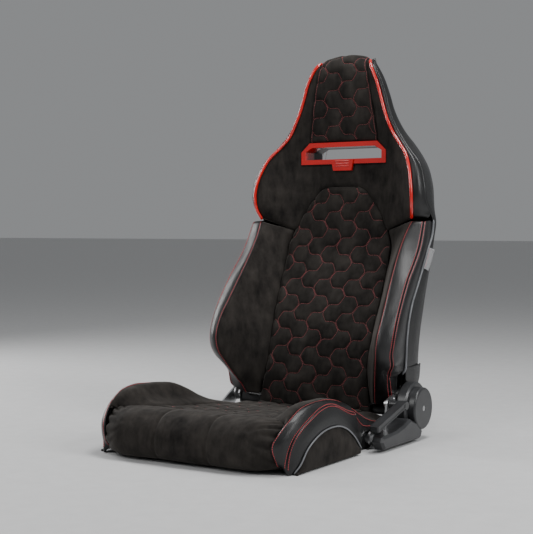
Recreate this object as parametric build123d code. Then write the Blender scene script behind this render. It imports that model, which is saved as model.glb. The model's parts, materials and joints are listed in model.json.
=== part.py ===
"""Reclinable racing seat: tube-framed base and backrest, upholstery pads, harness slot,
pawl-and-sector recliner on the +X side and a plain hinge on the -X side.

Units are millimetres. The seat faces -Y and +Z is up. The origin is the centre of the four
slider bolt holes, on the underside of the base rails. Outlines named *_yz are (y, z) points.
"""
import math
import os

from build123d import *

os.makedirs("parts", exist_ok=True)

# ---------------------------------------------------------------- driving dimensions
BOLT_SPACING_X = 410.0          # slider bolt holes, across the seat
BOLT_SPACING_Y = 290.0          # slider bolt holes, front to back
BOLT_HOLE_R = 4.25              # clearance hole for M8

RAIL_OUTER_X = 228.0            # outer face of the rail web
RAIL_FLANGE = 40.0              # width of the rail's bottom flange
RAIL_HEIGHT = 45.0
RAIL_LIP = 14.0                 # width of the rail's top lip
RAIL_T = 3.0
RAIL_Y = (-190.0, 198.0)        # front and rear ends of the rails

TUBE_R = 12.5                   # base cross tubes
TUBE_WALL = 2.0
TUBE_Z = 26.0
FRONT_TUBE_Y = -165.0
REAR_TUBE_Y = 168.0

PIVOT_Y, PIVOT_Z = 228.0, 74.0  # backrest pivot
PIVOT_R = 6.0
RUN_CLEAR = 0.05                # radial clearance of every running fit
ARM_X = (230.0, 235.0)          # plane of the moving arms, the cam and the pawl
BRACKET_X = (236.5, 241.5)      # plane of the fixed brackets
SECTOR_R = 45.0                 # tip radius of the toothed sector
SECTOR_TEETH = 44               # teeth on the whole circle that the sector is cut from
TOOTH_DEPTH = 3.0
BRACKET_BOLTS_YZ = [(60.0, 24.0), (140.0, 24.0)]
BRACKET_BOLT_R = 5.0
ARM_BOLTS_YZ = [(272.0, 106.0), (282.0, 142.0)]
ARM_BOLT_R = 4.0
SPRING_STUD_ANGLE = 62.0        # where the stud for the spiral spring stands on the arm
SPRING_STUD_REACH = 42.0        # its distance from the pivot
SPRING_STUD_R = 4.0
SPRING_INNER_R = 11.0
SPRING_STRIP = 1.6
SPRING_STEP = 1.4               # growth of the spiral's radius per half turn
SPRING_HALF_TURNS = 18

PAWL_Y, PAWL_Z = 170.0, 98.0    # pawl pin
PAWL_PIN_R = 4.0
NOSE_ANGLE = 200.0              # where the pawl's nose meets the sector, seen from +X
NOSE_CLEAR = 0.4                # the nose stands clear of the sector's tip circle
LEVER_Y, LEVER_Z = 146.0, 90.0  # lever shaft
LEVER_SHAFT_R = 5.0
LEVER_X = (263.0, 285.0)        # the hand lever's width
LEVER_TIP_YZ = (8.0, 52.0)
LEVER_T = 13.0
LEVER_RIM = 2.5                 # width of the lever's raised rim

COVER_X = (247.0, 270.0)        # recliner cover skirt
CAP_X = (270.0, 289.0)
DRUM_R = 60.0
CAP_R = 49.0
COVER_T = 2.5
FOOT_X = (264.0, 289.0)         # the cover's foot in front of the bracket's flange
FOOT_STEP_Y = 60.0              # behind this the foot reaches in to the bracket
FOOT_YZ = [(29, 6), (14, 24), (20, 35), (96, 40), (128, 47), (160, 58), (180, 50), (218, 40), (222, 20),
           (212, 6)]

BACK_TUBE_X = 206.0             # centre of the backrest's side tubes
BACK_TUBE_R = 12.0
POST_R = 9.0
PAD_T = 45.0                    # thickness of the backrest's centre pad
BOLSTER_T = 35.0                # the same for its bolsters
SHOULDER_PAD_T = 28.0
HEAD_PAD_T = 20.0
INSERT_X = 145.0                # half-width of the quilted centre panels
BOLSTER_X = 257.0               # widest half-width of the upholstery
SOFT_GAP = 0.5                  # gap between neighbouring soft solids
CREST_TOP = 143.0               # top of the seat bolsters
SEAT_UNDER = 47.0               # underside of the seat pads
ROLL_HALF = 222.0               # half-width of the front roll
ROLL_REAR_Y = -232.0

PIPING_R = 4.0                  # red piping
WELT_R = 3.0                    # grey piping

# front face of the backrest on its middle plane, from its lower edge to its top
BACK_FRONT_YZ = [(212, 70), (224, 160), (252, 250), (296, 350), (337, 450), (356, 560), (362, 640),
                 (366, 700), (360, 770), (356, 860), (360, 912), (369, 936)]

# bolster sections of the backrest: height, crest (x, y), outer seam (x, y), rear edge y
BOLSTER_SECTIONS = [
    (98, (182, 180), (220, 184), 230),
    (128, (194, 157), (226, 170), 230),
    (162, (206, 135), (242, 148), 230),
    (193, (216, 118), (252, 130), 228),
    (220, (219, 113), (256, 128), 226),
    (262, (218, 127), (257, 145), 228),
    (319, (214, 168), (254, 186), 246),
    (371, (210, 206), (251, 220), 275),
    (425, (207, 246), (248, 262), 318),
    (476, (208, 285), (247, 296), 350),
    (512, (212, 308), (245, 320), 366),
    (540, (216, 320), (240, 328), 342),
]

# shoulder and head sections: height, front middle y, wing edge (x, y)
SHOULDER_SECTIONS = [
    (546, 353, (220, 302)), (575, 357, (222, 297)), (606, 360, (218, 300)), (640, 362, (209, 310)),
    (673, 365, (193, 323)), (699, 366, (171, 336)), (733, 364, (145, 347)),
]
HEAD_SECTIONS = [
    (734, 364, (145, 347)), (763, 361, (129, 349)), (791, 359, (119, 352)), (824, 357, (108, 354)),
    (861, 356, (96, 355)), (890, 358, (82, 359)), (915, 361, (68, 364)), (936, 372, (50, 374)),
]

# rear shell sections: height, front lip (x, y), corner (x, y), rear middle y
SHELL_SECTIONS = [
    (165, (247, 242), (227, 331), 349),
    (200, (247, 239), (227, 330), 348),
    (253, (247, 239), (227, 342), 360),
    (318, (247, 257), (226, 365), 384),
    (371, (247, 287), (226, 383), 402),
    (425, (247, 330), (226, 401), 419),
    (476, (247, 364), (225, 413), 430),
    (512, (247, 383), (225, 419), 435),
    (546, (247, 350), (224, 422), 438),
    (600, (243, 322), (218, 428), 442),
    (650, (228, 330), (202, 431), 442),
    (700, (182, 345), (172, 428), 436),
    (735, (156, 356), (146, 420), 430),
    (785, (130, 362), (120, 412), 424),
    (830, (117, 364), (106, 408), 420),
    (880, (96, 368), (88, 404), 416),
    (915, (78, 372), (70, 400), 410),
    (938, (58, 380), (52, 398), 404),
]
SHELL_T = 4.0

# harness slot
SLOT_HALF = 121.5               # half-width of the bezel
SLOT_TOP_HALF = 97.0            # half-width of its chamfered top edge
SLOT_Z = (657.0, 689.0, 712.0)  # lower edge, start of the chamfer, top edge
SLOT_RIM = 12.0
SLOT_FRONT_Y = 358.0
SLOT_REAR_Y = 446.0
SLEEVE_WALL = 3.0
BEZEL_DEPTH = 45.0              # depth of the front bezel with its own short sleeve
SHELL_FLAP_X = (242.4, 246.4)   # side flaps of the shell, between the hinge and its cover

# routes of the piping on the +X side
RED_ROUTE = [(87, 353, 888), (102, 350, 851), (122, 348, 793), (141, 344, 745), (174, 331, 700),
             (201, 316, 667), (222, 296, 610), (227, 291, 576), (222, 297, 536)]
WELT_ROUTE = [(244.5, 235, 168), (244.5, 231.5, 200), (244.5, 231, 250), (244.5, 252, 322),
              (244.5, 287, 383), (244.5, 327, 431), (244.5, 356, 477), (244.5, 372, 510)]
ARCH_ROUTE_YZ = [(-306, 8), (-283, 22), (-256, 52), (-220, 70), (-186, 78), (-149, 80), (-118, 77),
                 (-84, 66), (-46, 40), (-22, 20)]
SEAT_SIDE_YZ = [(-14, 6), (-318, 6), (-334, 26), (-328, 60), (-304, 92), (-270, 117), (-230, 134),
                (-180, CREST_TOP), (-116, CREST_TOP), (-78, 136), (-38, 120), (2, 102), (43, 83),
                (85, 65), (110, 55), (196, 54), (196, SEAT_UNDER), (-14, SEAT_UNDER)]
BACK_TUBE_ROUTE = [(BACK_TUBE_X, 266, 84), (BACK_TUBE_X, 322, 282), (BACK_TUBE_X, 397, 474), (190, 405, 600)]
SHOULDER_TUBE_Z = 612.5
SHOULDER_TUBE_Y = 406.0
POST_ROUTE = [(140, 407, 626), (128, 403, 735), (66, 393, 875)]


# ---------------------------------------------------------------- helpers
def save(solid, name):
    """Write one node; a list becomes a node of separate solids."""
    if isinstance(solid, list):
        solid = Compound(label=name, children=solid)
    solid.label = name
    export_step(solid, f"parts/{name}.step")


def plate_yz(points, x_from, x_to):
    """A closed outline of (y, z) points, extruded from x_from to x_to."""
    face = Plane.YZ.offset(x_from) * make_face(Polyline(*points, close=True))
    return extrude(face, amount=x_to - x_from, dir=(1, 0, 0))


def disc_x(y, z, radius, x_from, x_to):
    """A round bar along X."""
    face = Plane.YZ.offset(x_from) * (Pos(y, z) * Circle(radius))
    return extrude(face, amount=x_to - x_from, dir=(1, 0, 0))


def box_between(low, high):
    """A box from its low corner to its high corner."""
    size = [b - a for a, b in zip(low, high)]
    middle = [(a + b) / 2 for a, b in zip(low, high)]
    return Pos(*middle) * Box(*size)


def mirrored(solid):
    """The same piece on the other side of the seat."""
    return mirror(solid, about=Plane.YZ)


def hull_yz(circles, x_from, x_to):
    """A plate round a chain of (y, z, radius) circles, joined by straight edges."""
    solid = None
    for (y0, z0, r0), (y1, z1, r1) in zip(circles, circles[1:]):
        along = math.atan2(z1 - z0, y1 - y0)
        lean = math.acos((r0 - r1) / math.hypot(y1 - y0, z1 - z0))
        a, b = along + lean, along - lean
        link = plate_yz([
            (y0 + r0 * math.cos(a), z0 + r0 * math.sin(a)), (y1 + r1 * math.cos(a), z1 + r1 * math.sin(a)),
            (y1 + r1 * math.cos(b), z1 + r1 * math.sin(b)), (y0 + r0 * math.cos(b), z0 + r0 * math.sin(b)),
        ], x_from, x_to)
        piece = link + disc_x(y0, z0, r0, x_from, x_to) + disc_x(y1, z1, r1, x_from, x_to)
        solid = piece if solid is None else solid + piece
    return solid


def rod(route, radius, bend):
    """A round rod along a route, with every corner rounded to the radius bend."""
    path = FilletPolyline(*route, radius=bend) if len(route) > 2 else Line(*route)
    start = Plane(origin=path @ 0, z_dir=path % 0)
    return sweep(start * Circle(radius), path=path)


def tube(route, radius, bend=40.0):
    """A round tube along a route."""
    path = FilletPolyline(*route, radius=bend) if len(route) > 2 else Line(*route)
    start = Plane(origin=path @ 0, z_dir=path % 0)
    return sweep(start * (Circle(radius) - Circle(radius - TUBE_WALL)), path=path)


def soft_bends(route):
    """Bend radii for a piping route: 0.45 of the shorter run over the tangent of half the turn."""
    radii = []
    for before, here, after in zip(route, route[1:], route[2:]):
        first, second = Vector(*here) - Vector(*before), Vector(*after) - Vector(*here)
        turn = math.radians(first.get_angle(second))
        radii.append(0.45 * min(first.length, second.length) / math.tan(turn / 2))
    return radii


def stacked(sections):
    """A solid through flat outlines at rising heights: (height, [(x, y), ...])."""
    wires = [Polyline(*[(x, y, z) for x, y in points], close=True) for z, points in sections]
    return loft([make_face(wire) for wire in wires], ruled=True)


def front_y(z):
    """Front face of the backrest on its middle plane, at height z."""
    for (y0, z0), (y1, z1) in zip(BACK_FRONT_YZ, BACK_FRONT_YZ[1:]):
        if z <= z1:
            return y0 + (y1 - y0) * (z - z0) / (z1 - z0)
    return BACK_FRONT_YZ[-1][0]


def hex_bar(y, z, across_flats, x_from, x_to):
    """A hexagonal bar along X, for bolt heads and nuts."""
    face = Plane.YZ.offset(x_from) * (Pos(y, z) * RegularPolygon(across_flats / 2, 6, major_radius=False))
    return extrude(face, amount=x_to - x_from, dir=(1, 0, 0))


# ---------------------------------------------------------------- seat base: frame
def base_rail():
    """Folded channel, open towards the middle of the seat (+X side)."""
    web_in = RAIL_OUTER_X - RAIL_T
    rail = box_between((RAIL_OUTER_X - RAIL_FLANGE, RAIL_Y[0], 0), (RAIL_OUTER_X, RAIL_Y[1], RAIL_T))
    rail += box_between((web_in, RAIL_Y[0], 0), (RAIL_OUTER_X, RAIL_Y[1], RAIL_HEIGHT))
    rail += box_between((RAIL_OUTER_X - RAIL_LIP, RAIL_Y[0], RAIL_HEIGHT - RAIL_T),
                        (RAIL_OUTER_X, RAIL_Y[1], RAIL_HEIGHT))
    for y in (-BOLT_SPACING_Y / 2, BOLT_SPACING_Y / 2):
        rail -= Pos(BOLT_SPACING_X / 2, y, 0) * Cylinder(BOLT_HOLE_R, 4 * RAIL_T)
    for y, z in BRACKET_BOLTS_YZ:
        rail -= disc_x(y, z, BRACKET_BOLT_R, web_in - 1, RAIL_OUTER_X + 1)
    return rail


def rail_nuts():
    """Four weld nuts on top of the bottom flanges."""
    nuts = []
    for x in (-BOLT_SPACING_X / 2, BOLT_SPACING_X / 2):
        for y in (-BOLT_SPACING_Y / 2, BOLT_SPACING_Y / 2):
            blank = extrude(Pos(x, y, RAIL_T) * RegularPolygon(6.5, 6, major_radius=False), amount=6.5)
            nuts.append(blank - Pos(x, y, RAIL_T) * Cylinder(BOLT_HOLE_R, 20))
    return nuts


def cross_tube(y):
    """Tube between the rail webs."""
    reach = RAIL_OUTER_X - RAIL_T
    return disc_x(y, TUBE_Z, TUBE_R, -reach, reach) - disc_x(y, TUBE_Z, TUBE_R - TUBE_WALL, -reach, reach)


def seat_springs():
    """Four zig-zag wires that lie across both tubes."""
    wire_r, swing, steps = 2.0, 17.0, 12
    z = TUBE_Z + TUBE_R + wire_r
    pitch = (REAR_TUBE_Y - FRONT_TUBE_Y) / steps
    springs = []
    for middle in (-120.0, -40.0, 40.0, 120.0):
        route = [(middle, FRONT_TUBE_Y - 6, z)]
        for step in range(steps):
            side = swing if step % 2 else -swing
            route.append((middle + side, FRONT_TUBE_Y + pitch * (step + 0.2), z))
            route.append((middle + side, FRONT_TUBE_Y + pitch * (step + 0.8), z))
        route.append((middle, REAR_TUBE_Y + 6, z))
        springs.append(rod(route, wire_r, 5.0))
    return springs


# ---------------------------------------------------------------- seat base: upholstery
def seat_bolster():
    """Side bolster with its skirt outside the rail (+X side)."""
    side = plate_yz(SEAT_SIDE_YZ, INSERT_X + SOFT_GAP, BOLSTER_X)
    inner, outer = INSERT_X + SOFT_GAP, RAIL_OUTER_X + SOFT_GAP
    section = Polyline((inner, SEAT_UNDER), (outer, SEAT_UNDER), (outer, 0), (BOLSTER_X, 0), (BOLSTER_X, 96),
                       (247, 128), (236, CREST_TOP), (226, CREST_TOP), (inner, 88), close=True)
    prism = extrude(Plane.XZ.offset(400) * make_face(section), amount=-700)
    bolster = side & prism
    # the front roll fills the front between the bolsters
    bolster -= box_between((0, -400, 0), (ROLL_HALF + SOFT_GAP, ROLL_REAR_Y + SOFT_GAP, 200))
    # room for the hinge plates and the recliner cover
    bolster -= box_between((COVER_X[0] - 1, -15, 0), (300, 300, 200))
    return bolster - box_between((RAIL_OUTER_X, 26, 0), (300, 300, 200))


def seat_center_pad():
    """Insert on the springs, sloping down to the backrest."""
    outline = [(ROLL_REAR_Y + SOFT_GAP, SEAT_UNDER), (ROLL_REAR_Y + SOFT_GAP, 100), (-150, 92), (0, 80),
               (110, 70), (200, 62), (200, SEAT_UNDER)]
    return plate_yz(outline, -INSERT_X, INSERT_X)


def seat_front_roll():
    """Waterfall roll across the front, between the bolster bands."""
    outline = [(ROLL_REAR_Y, 8), (-318, 8), (-334, 22), (-343, 48), (-337, 76), (-316, 95), (-285, 104),
               (ROLL_REAR_Y, 103)]
    return plate_yz(outline, -ROLL_HALF, ROLL_HALF)


def seat_piping():
    """Grey piping over the side skirt (+X side)."""
    route = [(BOLSTER_X + WELT_R, y, z) for y, z in ARCH_ROUTE_YZ]
    return rod(route, WELT_R, soft_bends(route))


# ---------------------------------------------------------------- recliner and hinge


def bracket_plate(head_r, with_release):
    """Fixed plate outside the rail, from its two bolts up to the pivot (+X side)."""
    (y0, z0), (y1, z1) = BRACKET_BOLTS_YZ
    plate = hull_yz([(y0, z0, 16), (y1, z1, 18), (PIVOT_Y, PIVOT_Z, head_r)], *BRACKET_X)
    if with_release:
        plate += hull_yz([(y1, z1, 18), (LEVER_Y, LEVER_Z, 14), (PAWL_Y, PAWL_Z, 11),
                          (PIVOT_Y, PIVOT_Z, head_r)], *BRACKET_X)
        plate += plate_yz([(y1, z1), (LEVER_Y, LEVER_Z), (PAWL_Y, PAWL_Z), (PIVOT_Y, PIVOT_Z)], *BRACKET_X)
        plate += box_between((BRACKET_X[0], y0, 1), (COVER_X[1], 212, 5))
        plate += box_between((BRACKET_X[0], y0, 1), (BRACKET_X[1], 212, 30))
        plate -= disc_x(LEVER_Y, LEVER_Z, LEVER_SHAFT_R + RUN_CLEAR, BRACKET_X[0] - 1, BRACKET_X[1] + 1)
        plate -= disc_x(PAWL_Y, PAWL_Z, PAWL_PIN_R, BRACKET_X[0] - 1, BRACKET_X[1] + 1)
    plate -= disc_x(PIVOT_Y, PIVOT_Z, PIVOT_R, BRACKET_X[0] - 1, BRACKET_X[1] + 1)
    for y, z in BRACKET_BOLTS_YZ:
        plate -= disc_x(y, z, BRACKET_BOLT_R, BRACKET_X[0] - 1, BRACKET_X[1] + 1)
    return plate


def bracket_spacer(y, z):
    """Round spacer between the rail web and the bracket."""
    return (disc_x(y, z, 11, RAIL_OUTER_X, BRACKET_X[0])
            - disc_x(y, z, BRACKET_BOLT_R, RAIL_OUTER_X, BRACKET_X[0]))


def bracket_bolt(y, z):
    """Bolt through bracket, spacer and web, with its nut inside the rail."""
    bolt = disc_x(y, z, BRACKET_BOLT_R, RAIL_OUTER_X - 14, BRACKET_X[1])
    bolt += hex_bar(y, z, 16, BRACKET_X[1], BRACKET_X[1] + 5)
    return bolt + hex_bar(y, z, 16, RAIL_OUTER_X - RAIL_T - 8, RAIL_OUTER_X - RAIL_T)


def pivot_bolt():
    """Shoulder bolt through bracket and arm; its nut and washer stand clear of the arm."""
    bolt = disc_x(PIVOT_Y, PIVOT_Z, PIVOT_R, ARM_X[0] - 8, BRACKET_X[1])
    bolt += disc_x(PIVOT_Y, PIVOT_Z, 11, BRACKET_X[1], BRACKET_X[1] + 5)
    return bolt + hex_bar(PIVOT_Y, PIVOT_Z, 16, ARM_X[0] - 8, ARM_X[0] - 0.5)


def sector_disc():
    """Disc with teeth on its front-lower rim; a tooth gap meets the pawl's nose."""
    disc = disc_x(PIVOT_Y, PIVOT_Z, SECTOR_R, *ARM_X)
    pitch = 360.0 / SECTOR_TEETH
    half = math.radians(pitch * 0.24)
    for step in range(-8, 14):
        angle = math.radians(NOSE_ANGLE + pitch * step)
        corners = []
        for radius, side in ((SECTOR_R + 1, -1.35), (SECTOR_R + 1, 1.35), (SECTOR_R - TOOTH_DEPTH, 1),
                             (SECTOR_R - TOOTH_DEPTH, -1)):
            corners.append((PIVOT_Y + radius * math.cos(angle + side * half),
                            PIVOT_Z + radius * math.sin(angle + side * half)))
        disc -= plate_yz(corners, *ARM_X)
    return disc


def arm_plate(head):
    """Moving arm: the head at the pivot and a strap up the frame tube (+X side)."""
    (y0, z0), (y1, z1) = ARM_BOLTS_YZ
    arm = head + hull_yz([(PIVOT_Y, PIVOT_Z, 16), (y0, z0, 15), (y1, z1, 13)], *ARM_X)
    arm -= disc_x(PIVOT_Y, PIVOT_Z, PIVOT_R + RUN_CLEAR, ARM_X[0] - 1, ARM_X[1] + 1)
    for y, z in ARM_BOLTS_YZ:
        arm -= disc_x(y, z, ARM_BOLT_R, ARM_X[0] - 1, ARM_X[1] + 1)
    return arm


def recliner_arm():
    """Arm with the toothed sector and the stud that carries the spiral spring's outer end."""
    arm = arm_plate(sector_disc())
    angle = math.radians(SPRING_STUD_ANGLE)
    return arm + disc_x(PIVOT_Y + SPRING_STUD_REACH * math.cos(angle),
                        PIVOT_Z + SPRING_STUD_REACH * math.sin(angle),
                        SPRING_STUD_R, ARM_X[1], COVER_X[0] + 13)


def arm_spacer(y, z):
    """Round spacer between the frame tube and the arm."""
    tube_face = BACK_TUBE_X + BACK_TUBE_R
    return disc_x(y, z, 9, tube_face, ARM_X[0]) - disc_x(y, z, ARM_BOLT_R, tube_face, ARM_X[0])


def arm_bolt(y, z):
    """Bolt through the arm and the frame tube."""
    inner = BACK_TUBE_X - BACK_TUBE_R
    bolt = disc_x(y, z, ARM_BOLT_R, inner - 8, ARM_X[1])
    return bolt + hex_bar(y, z, 13, ARM_X[1], ARM_X[1] + 5) + hex_bar(y, z, 13, inner - 6.5, inner)


def spiral_spring():
    """Flat spiral round the pivot, of half circles about two centres in turn; it ends inside the stud."""
    radius, side, lines, centre = SPRING_INNER_R, 1, None, 0.0
    for _ in range(SPRING_HALF_TURNS):
        arc = CenterArc((centre, 0), radius, 0 if side > 0 else 180, 180)
        lines = arc if lines is None else lines + arc
        centre -= side * SPRING_STEP
        radius += SPRING_STEP
        side = -side
    x_from, x_to = BRACKET_X[1] + 8, BRACKET_X[1] + 17
    face = Plane.YZ.offset(x_from) * (Pos(PIVOT_Y, PIVOT_Z) * trace(lines, SPRING_STRIP))
    return extrude(face, amount=x_to - x_from, dir=(1, 0, 0))


def pawl():
    """Rocking pawl whose nose points at the sector; it swings forward when released."""
    angle = math.radians(NOSE_ANGLE)
    nose = [PIVOT_Y + (SECTOR_R + NOSE_CLEAR) * math.cos(angle),
            PIVOT_Z + (SECTOR_R + NOSE_CLEAR) * math.sin(angle)]
    outward = (math.cos(angle), math.sin(angle))
    across = (-outward[1], outward[0])
    tip, root, depth = 0.9, 1.7, 9.0
    tail = (nose[0] + 10 * outward[0], nose[1] + 10 * outward[1] + 2, 5)
    body = hull_yz([(PAWL_Y, PAWL_Z, 9), tail], *ARM_X)
    corners = []
    for back, half in ((0, -tip), (0, tip), (depth, root + 1.3), (depth, -root - 1.3)):
        corners.append((nose[0] + back * outward[0] + half * across[0],
                        nose[1] + back * outward[1] + half * across[1]))
    # the body stays further from the sector's tip circle than the nose does
    body -= disc_x(PIVOT_Y, PIVOT_Z, SECTOR_R + 3.0, ARM_X[0] - 1, ARM_X[1] + 1)
    body += plate_yz(corners, *ARM_X)
    return body - disc_x(PAWL_Y, PAWL_Z, PAWL_PIN_R + RUN_CLEAR, ARM_X[0] - 1, ARM_X[1] + 1)


def pawl_pin():
    """Headed pin held in the bracket."""
    pin = disc_x(PAWL_Y, PAWL_Z, PAWL_PIN_R, ARM_X[0] - 1.5, BRACKET_X[1] + 2)
    return pin + disc_x(PAWL_Y, PAWL_Z, PAWL_PIN_R + 2.5, ARM_X[0] - 1.5, ARM_X[0] - 0.3)


def lever_shaft():
    """Shaft of the hand lever, with the cam that holds the pawl in the sector."""
    shaft = disc_x(LEVER_Y, LEVER_Z, LEVER_SHAFT_R, ARM_X[0], LEVER_X[1] - 4)
    lobe = hull_yz([(LEVER_Y, LEVER_Z, 9), (LEVER_Y + 12, LEVER_Z - 13, 4)], *ARM_X)
    return shaft + lobe


def release_lever():
    """Hand lever with raised rims round its upper and outer faces, on a round hub."""
    dy, dz = LEVER_TIP_YZ[0] - LEVER_Y, LEVER_TIP_YZ[1] - LEVER_Z
    length, lean = math.hypot(dy, dz), math.degrees(math.atan2(-dz, -dy))
    bar = Box(LEVER_X[1] - LEVER_X[0], length + 8, LEVER_T)
    bar = fillet(bar.edges().filter_by(Axis.Z), 4)
    width = LEVER_X[1] - LEVER_X[0]
    bar -= Pos(0, 0, LEVER_T / 2) * Box(width - 2 * LEVER_RIM, length + 8 - 2 * LEVER_RIM, 2)
    bar -= Pos(width / 2, 0, 0) * Box(2, length - 2 * LEVER_RIM, LEVER_T - 2 * LEVER_RIM)
    middle_x = (LEVER_X[0] + LEVER_X[1]) / 2
    bar = Pos(middle_x, LEVER_Y + dy / 2, LEVER_Z + dz / 2 + 3) * (Rot(lean, 0, 0) * bar)
    hub = disc_x(LEVER_Y, LEVER_Z, 9.5, BRACKET_X[1] + 1.5, LEVER_X[1])
    lever = bar + hub
    return lever - disc_x(LEVER_Y, LEVER_Z, LEVER_SHAFT_R, BRACKET_X[1], LEVER_X[1] - 4)


def recliner_cover():
    """Moulded cover: a faceted foot along the bracket and a round skirt about the pivot."""
    foot_out = plate_yz(FOOT_YZ, COVER_X[0], FOOT_X[1])
    foot_out = chamfer(foot_out.faces().sort_by(Axis.X)[-1].edges(), 5)
    foot_out -= box_between((COVER_X[0] - 1, 0, 0), (FOOT_X[0], FOOT_STEP_Y, 70))
    drum = disc_x(PIVOT_Y, PIVOT_Z, DRUM_R, *COVER_X)
    drum = chamfer(drum.faces().sort_by(Axis.X)[-1].edges(), 4)
    neck = plate_yz([(170, 30), (180, 104), (228, 74), (228, 30)], COVER_X[0], COVER_X[1] - 3)
    shell = foot_out + drum + neck
    inner_foot = plate_yz([(y * 0.96 + 5.0, 9 + (z - 6) * 0.84) for y, z in FOOT_YZ],
                          COVER_X[0] - 1, FOOT_X[1] - 2 * COVER_T)
    inner_foot -= box_between((COVER_X[0] - 2, 0, 0), (FOOT_X[0] + COVER_T, FOOT_STEP_Y + COVER_T, 70))
    inner_drum = disc_x(PIVOT_Y, PIVOT_Z, DRUM_R - COVER_T, COVER_X[0] - 1, COVER_X[1] - COVER_T)
    shell = shell - inner_drum - inner_foot
    shell -= disc_x(PIVOT_Y, PIVOT_Z, CAP_R + SOFT_GAP, CAP_X[0], CAP_X[1] + 1)
    return shell - disc_x(PIVOT_Y, PIVOT_Z, 3.2, COVER_X[1] - 10, COVER_X[1] + 10)


def recliner_cap():
    """Round outer cap on the cover."""
    cap = disc_x(PIVOT_Y, PIVOT_Z, CAP_R, *CAP_X)
    cap = fillet(cap.faces().sort_by(Axis.X)[-1].edges(), 5)
    cap -= disc_x(PIVOT_Y, PIVOT_Z, CAP_R - COVER_T, CAP_X[0] - 1, CAP_X[1] - COVER_T)
    cap += disc_x(PIVOT_Y, PIVOT_Z, 9, CAP_X[0], CAP_X[1] - COVER_T)
    cap -= disc_x(PIVOT_Y, PIVOT_Z, 3.2, CAP_X[0] - 1, CAP_X[1] + 1)
    return cap - disc_x(PIVOT_Y, PIVOT_Z, 6.5, CAP_X[1] - 3, CAP_X[1] + 1)


def cap_screw():
    """Screw through cap and cover into the pivot bolt's head."""
    screw = disc_x(PIVOT_Y, PIVOT_Z, 3.0, BRACKET_X[1] + 5, CAP_X[1] - 3)
    head = disc_x(PIVOT_Y, PIVOT_Z, 6.0, CAP_X[1] - 3, CAP_X[1] - 0.5)
    head -= Plane.YZ.offset(CAP_X[1] - 2) * Pos(PIVOT_Y, PIVOT_Z) * extrude(RegularPolygon(2.5, 6), amount=3)
    return screw + head


# ---------------------------------------------------------------- backrest frame
def back_tube():
    """Side tube of the backrest, drilled for the arm bolts (+X side)."""
    side = tube(BACK_TUBE_ROUTE, BACK_TUBE_R, 60.0)
    for y, z in ARM_BOLTS_YZ:
        side -= disc_x(y, z, ARM_BOLT_R, BACK_TUBE_X - 20, BACK_TUBE_X + 20)
    return side


def straight_tube(y, z, half, radius):
    """Straight tube across the backrest."""
    return disc_x(y, z, radius, -half, half) - disc_x(y, z, radius - TUBE_WALL, -half, half)


def support_wires():
    """Five straight wires between the side tubes."""
    wires = []
    for z, y in ((190, 294), (260, 315), (330, 342), (400, 370), (470, 398)):
        wires.append(disc_x(y, z, 2.0, BACK_TUBE_R - BACK_TUBE_X, BACK_TUBE_X - BACK_TUBE_R))
    return wires


# ---------------------------------------------------------------- backrest upholstery
def back_center_pad():
    """Arch-topped quilted panel."""
    front = [(y, z) for y, z in BACK_FRONT_YZ if z < 540]
    top = (front_y(545), 545.0)
    outline = front + [top] + [(top[0] + PAD_T - 12, 545.0)] + [(y + PAD_T, z) for y, z in reversed(front)]
    return plate_yz(outline, -INSERT_X, INSERT_X)


def back_bolster():
    """Side bolster, from the panel's edge out to the leather side (+X side)."""
    sections = []
    for z, crest, seam, rear in BOLSTER_SECTIONS:
        inner = INSERT_X + SOFT_GAP
        front = front_y(z)
        back = front + BOLSTER_T
        side = min(seam[0] + 1, 243)
        sections.append((z, [(inner, front), crest, seam, (side, rear), (side - 17, rear + 1),
                             (side - 20, back), (inner, back)]))
    bolster = stacked(sections)
    # room for the arms and the release at the hinge
    bolster -= box_between((216.5, 176, 60), (300, 340, 166))
    bolster -= box_between((227.5, 60, 60), (300, 340, 152))
    return bolster


def padded_block(sections, thickness):
    """Full-width pad whose edges come forward as wings."""
    outlines = []
    for z, middle, (x, y) in sections:
        flat = min(0.6 * x, 130)
        half = [(flat, middle - 5), (x, y), (x - 2, y + thickness * 0.8), (flat, middle + thickness)]
        other = [(-px, py) for px, py in reversed(half)]
        outlines.append((z, half + other))
    return stacked(outlines)


def slot_outline(margin):
    """Outline of the harness slot's bezel as (x, z), grown or shrunk by margin."""
    low, shoulder, top = SLOT_Z
    half, top_half = SLOT_HALF + margin, SLOT_TOP_HALF + margin * 0.6
    return [(-half, low - margin), (half, low - margin), (half, shoulder), (top_half, top + margin),
            (-top_half, top + margin), (-half, shoulder)]


def slot_block(margin, y_from, y_to):
    """The slot's outline as a block from y_from to y_to."""
    face = Plane.XZ.offset(-y_from) * make_face(Polyline(*slot_outline(margin), close=True))
    return extrude(face, amount=y_to - y_from, dir=(0, 1, 0))


def harness_bezel():
    """Front bezel with a short sleeve, and a plain tab at the middle of its lower edge."""
    ring = slot_block(0, SLOT_FRONT_Y, SLOT_FRONT_Y + 9)
    tab = Polyline((-32, SLOT_Z[0] + 11), (32, SLOT_Z[0] + 11), (26, SLOT_Z[0] - 17), (-26, SLOT_Z[0] - 17),
                   close=True)
    face = Plane.XZ.offset(-SLOT_FRONT_Y + 3) * make_face(tab)
    ring += extrude(face, amount=8, dir=(0, 1, 0))
    ring += slot_block(SLEEVE_WALL - SLOT_RIM, SLOT_FRONT_Y, SLOT_FRONT_Y + BEZEL_DEPTH)
    return ring - slot_block(-SLOT_RIM, SLOT_FRONT_Y - 10, SLOT_FRONT_Y + BEZEL_DEPTH + 1)


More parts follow.
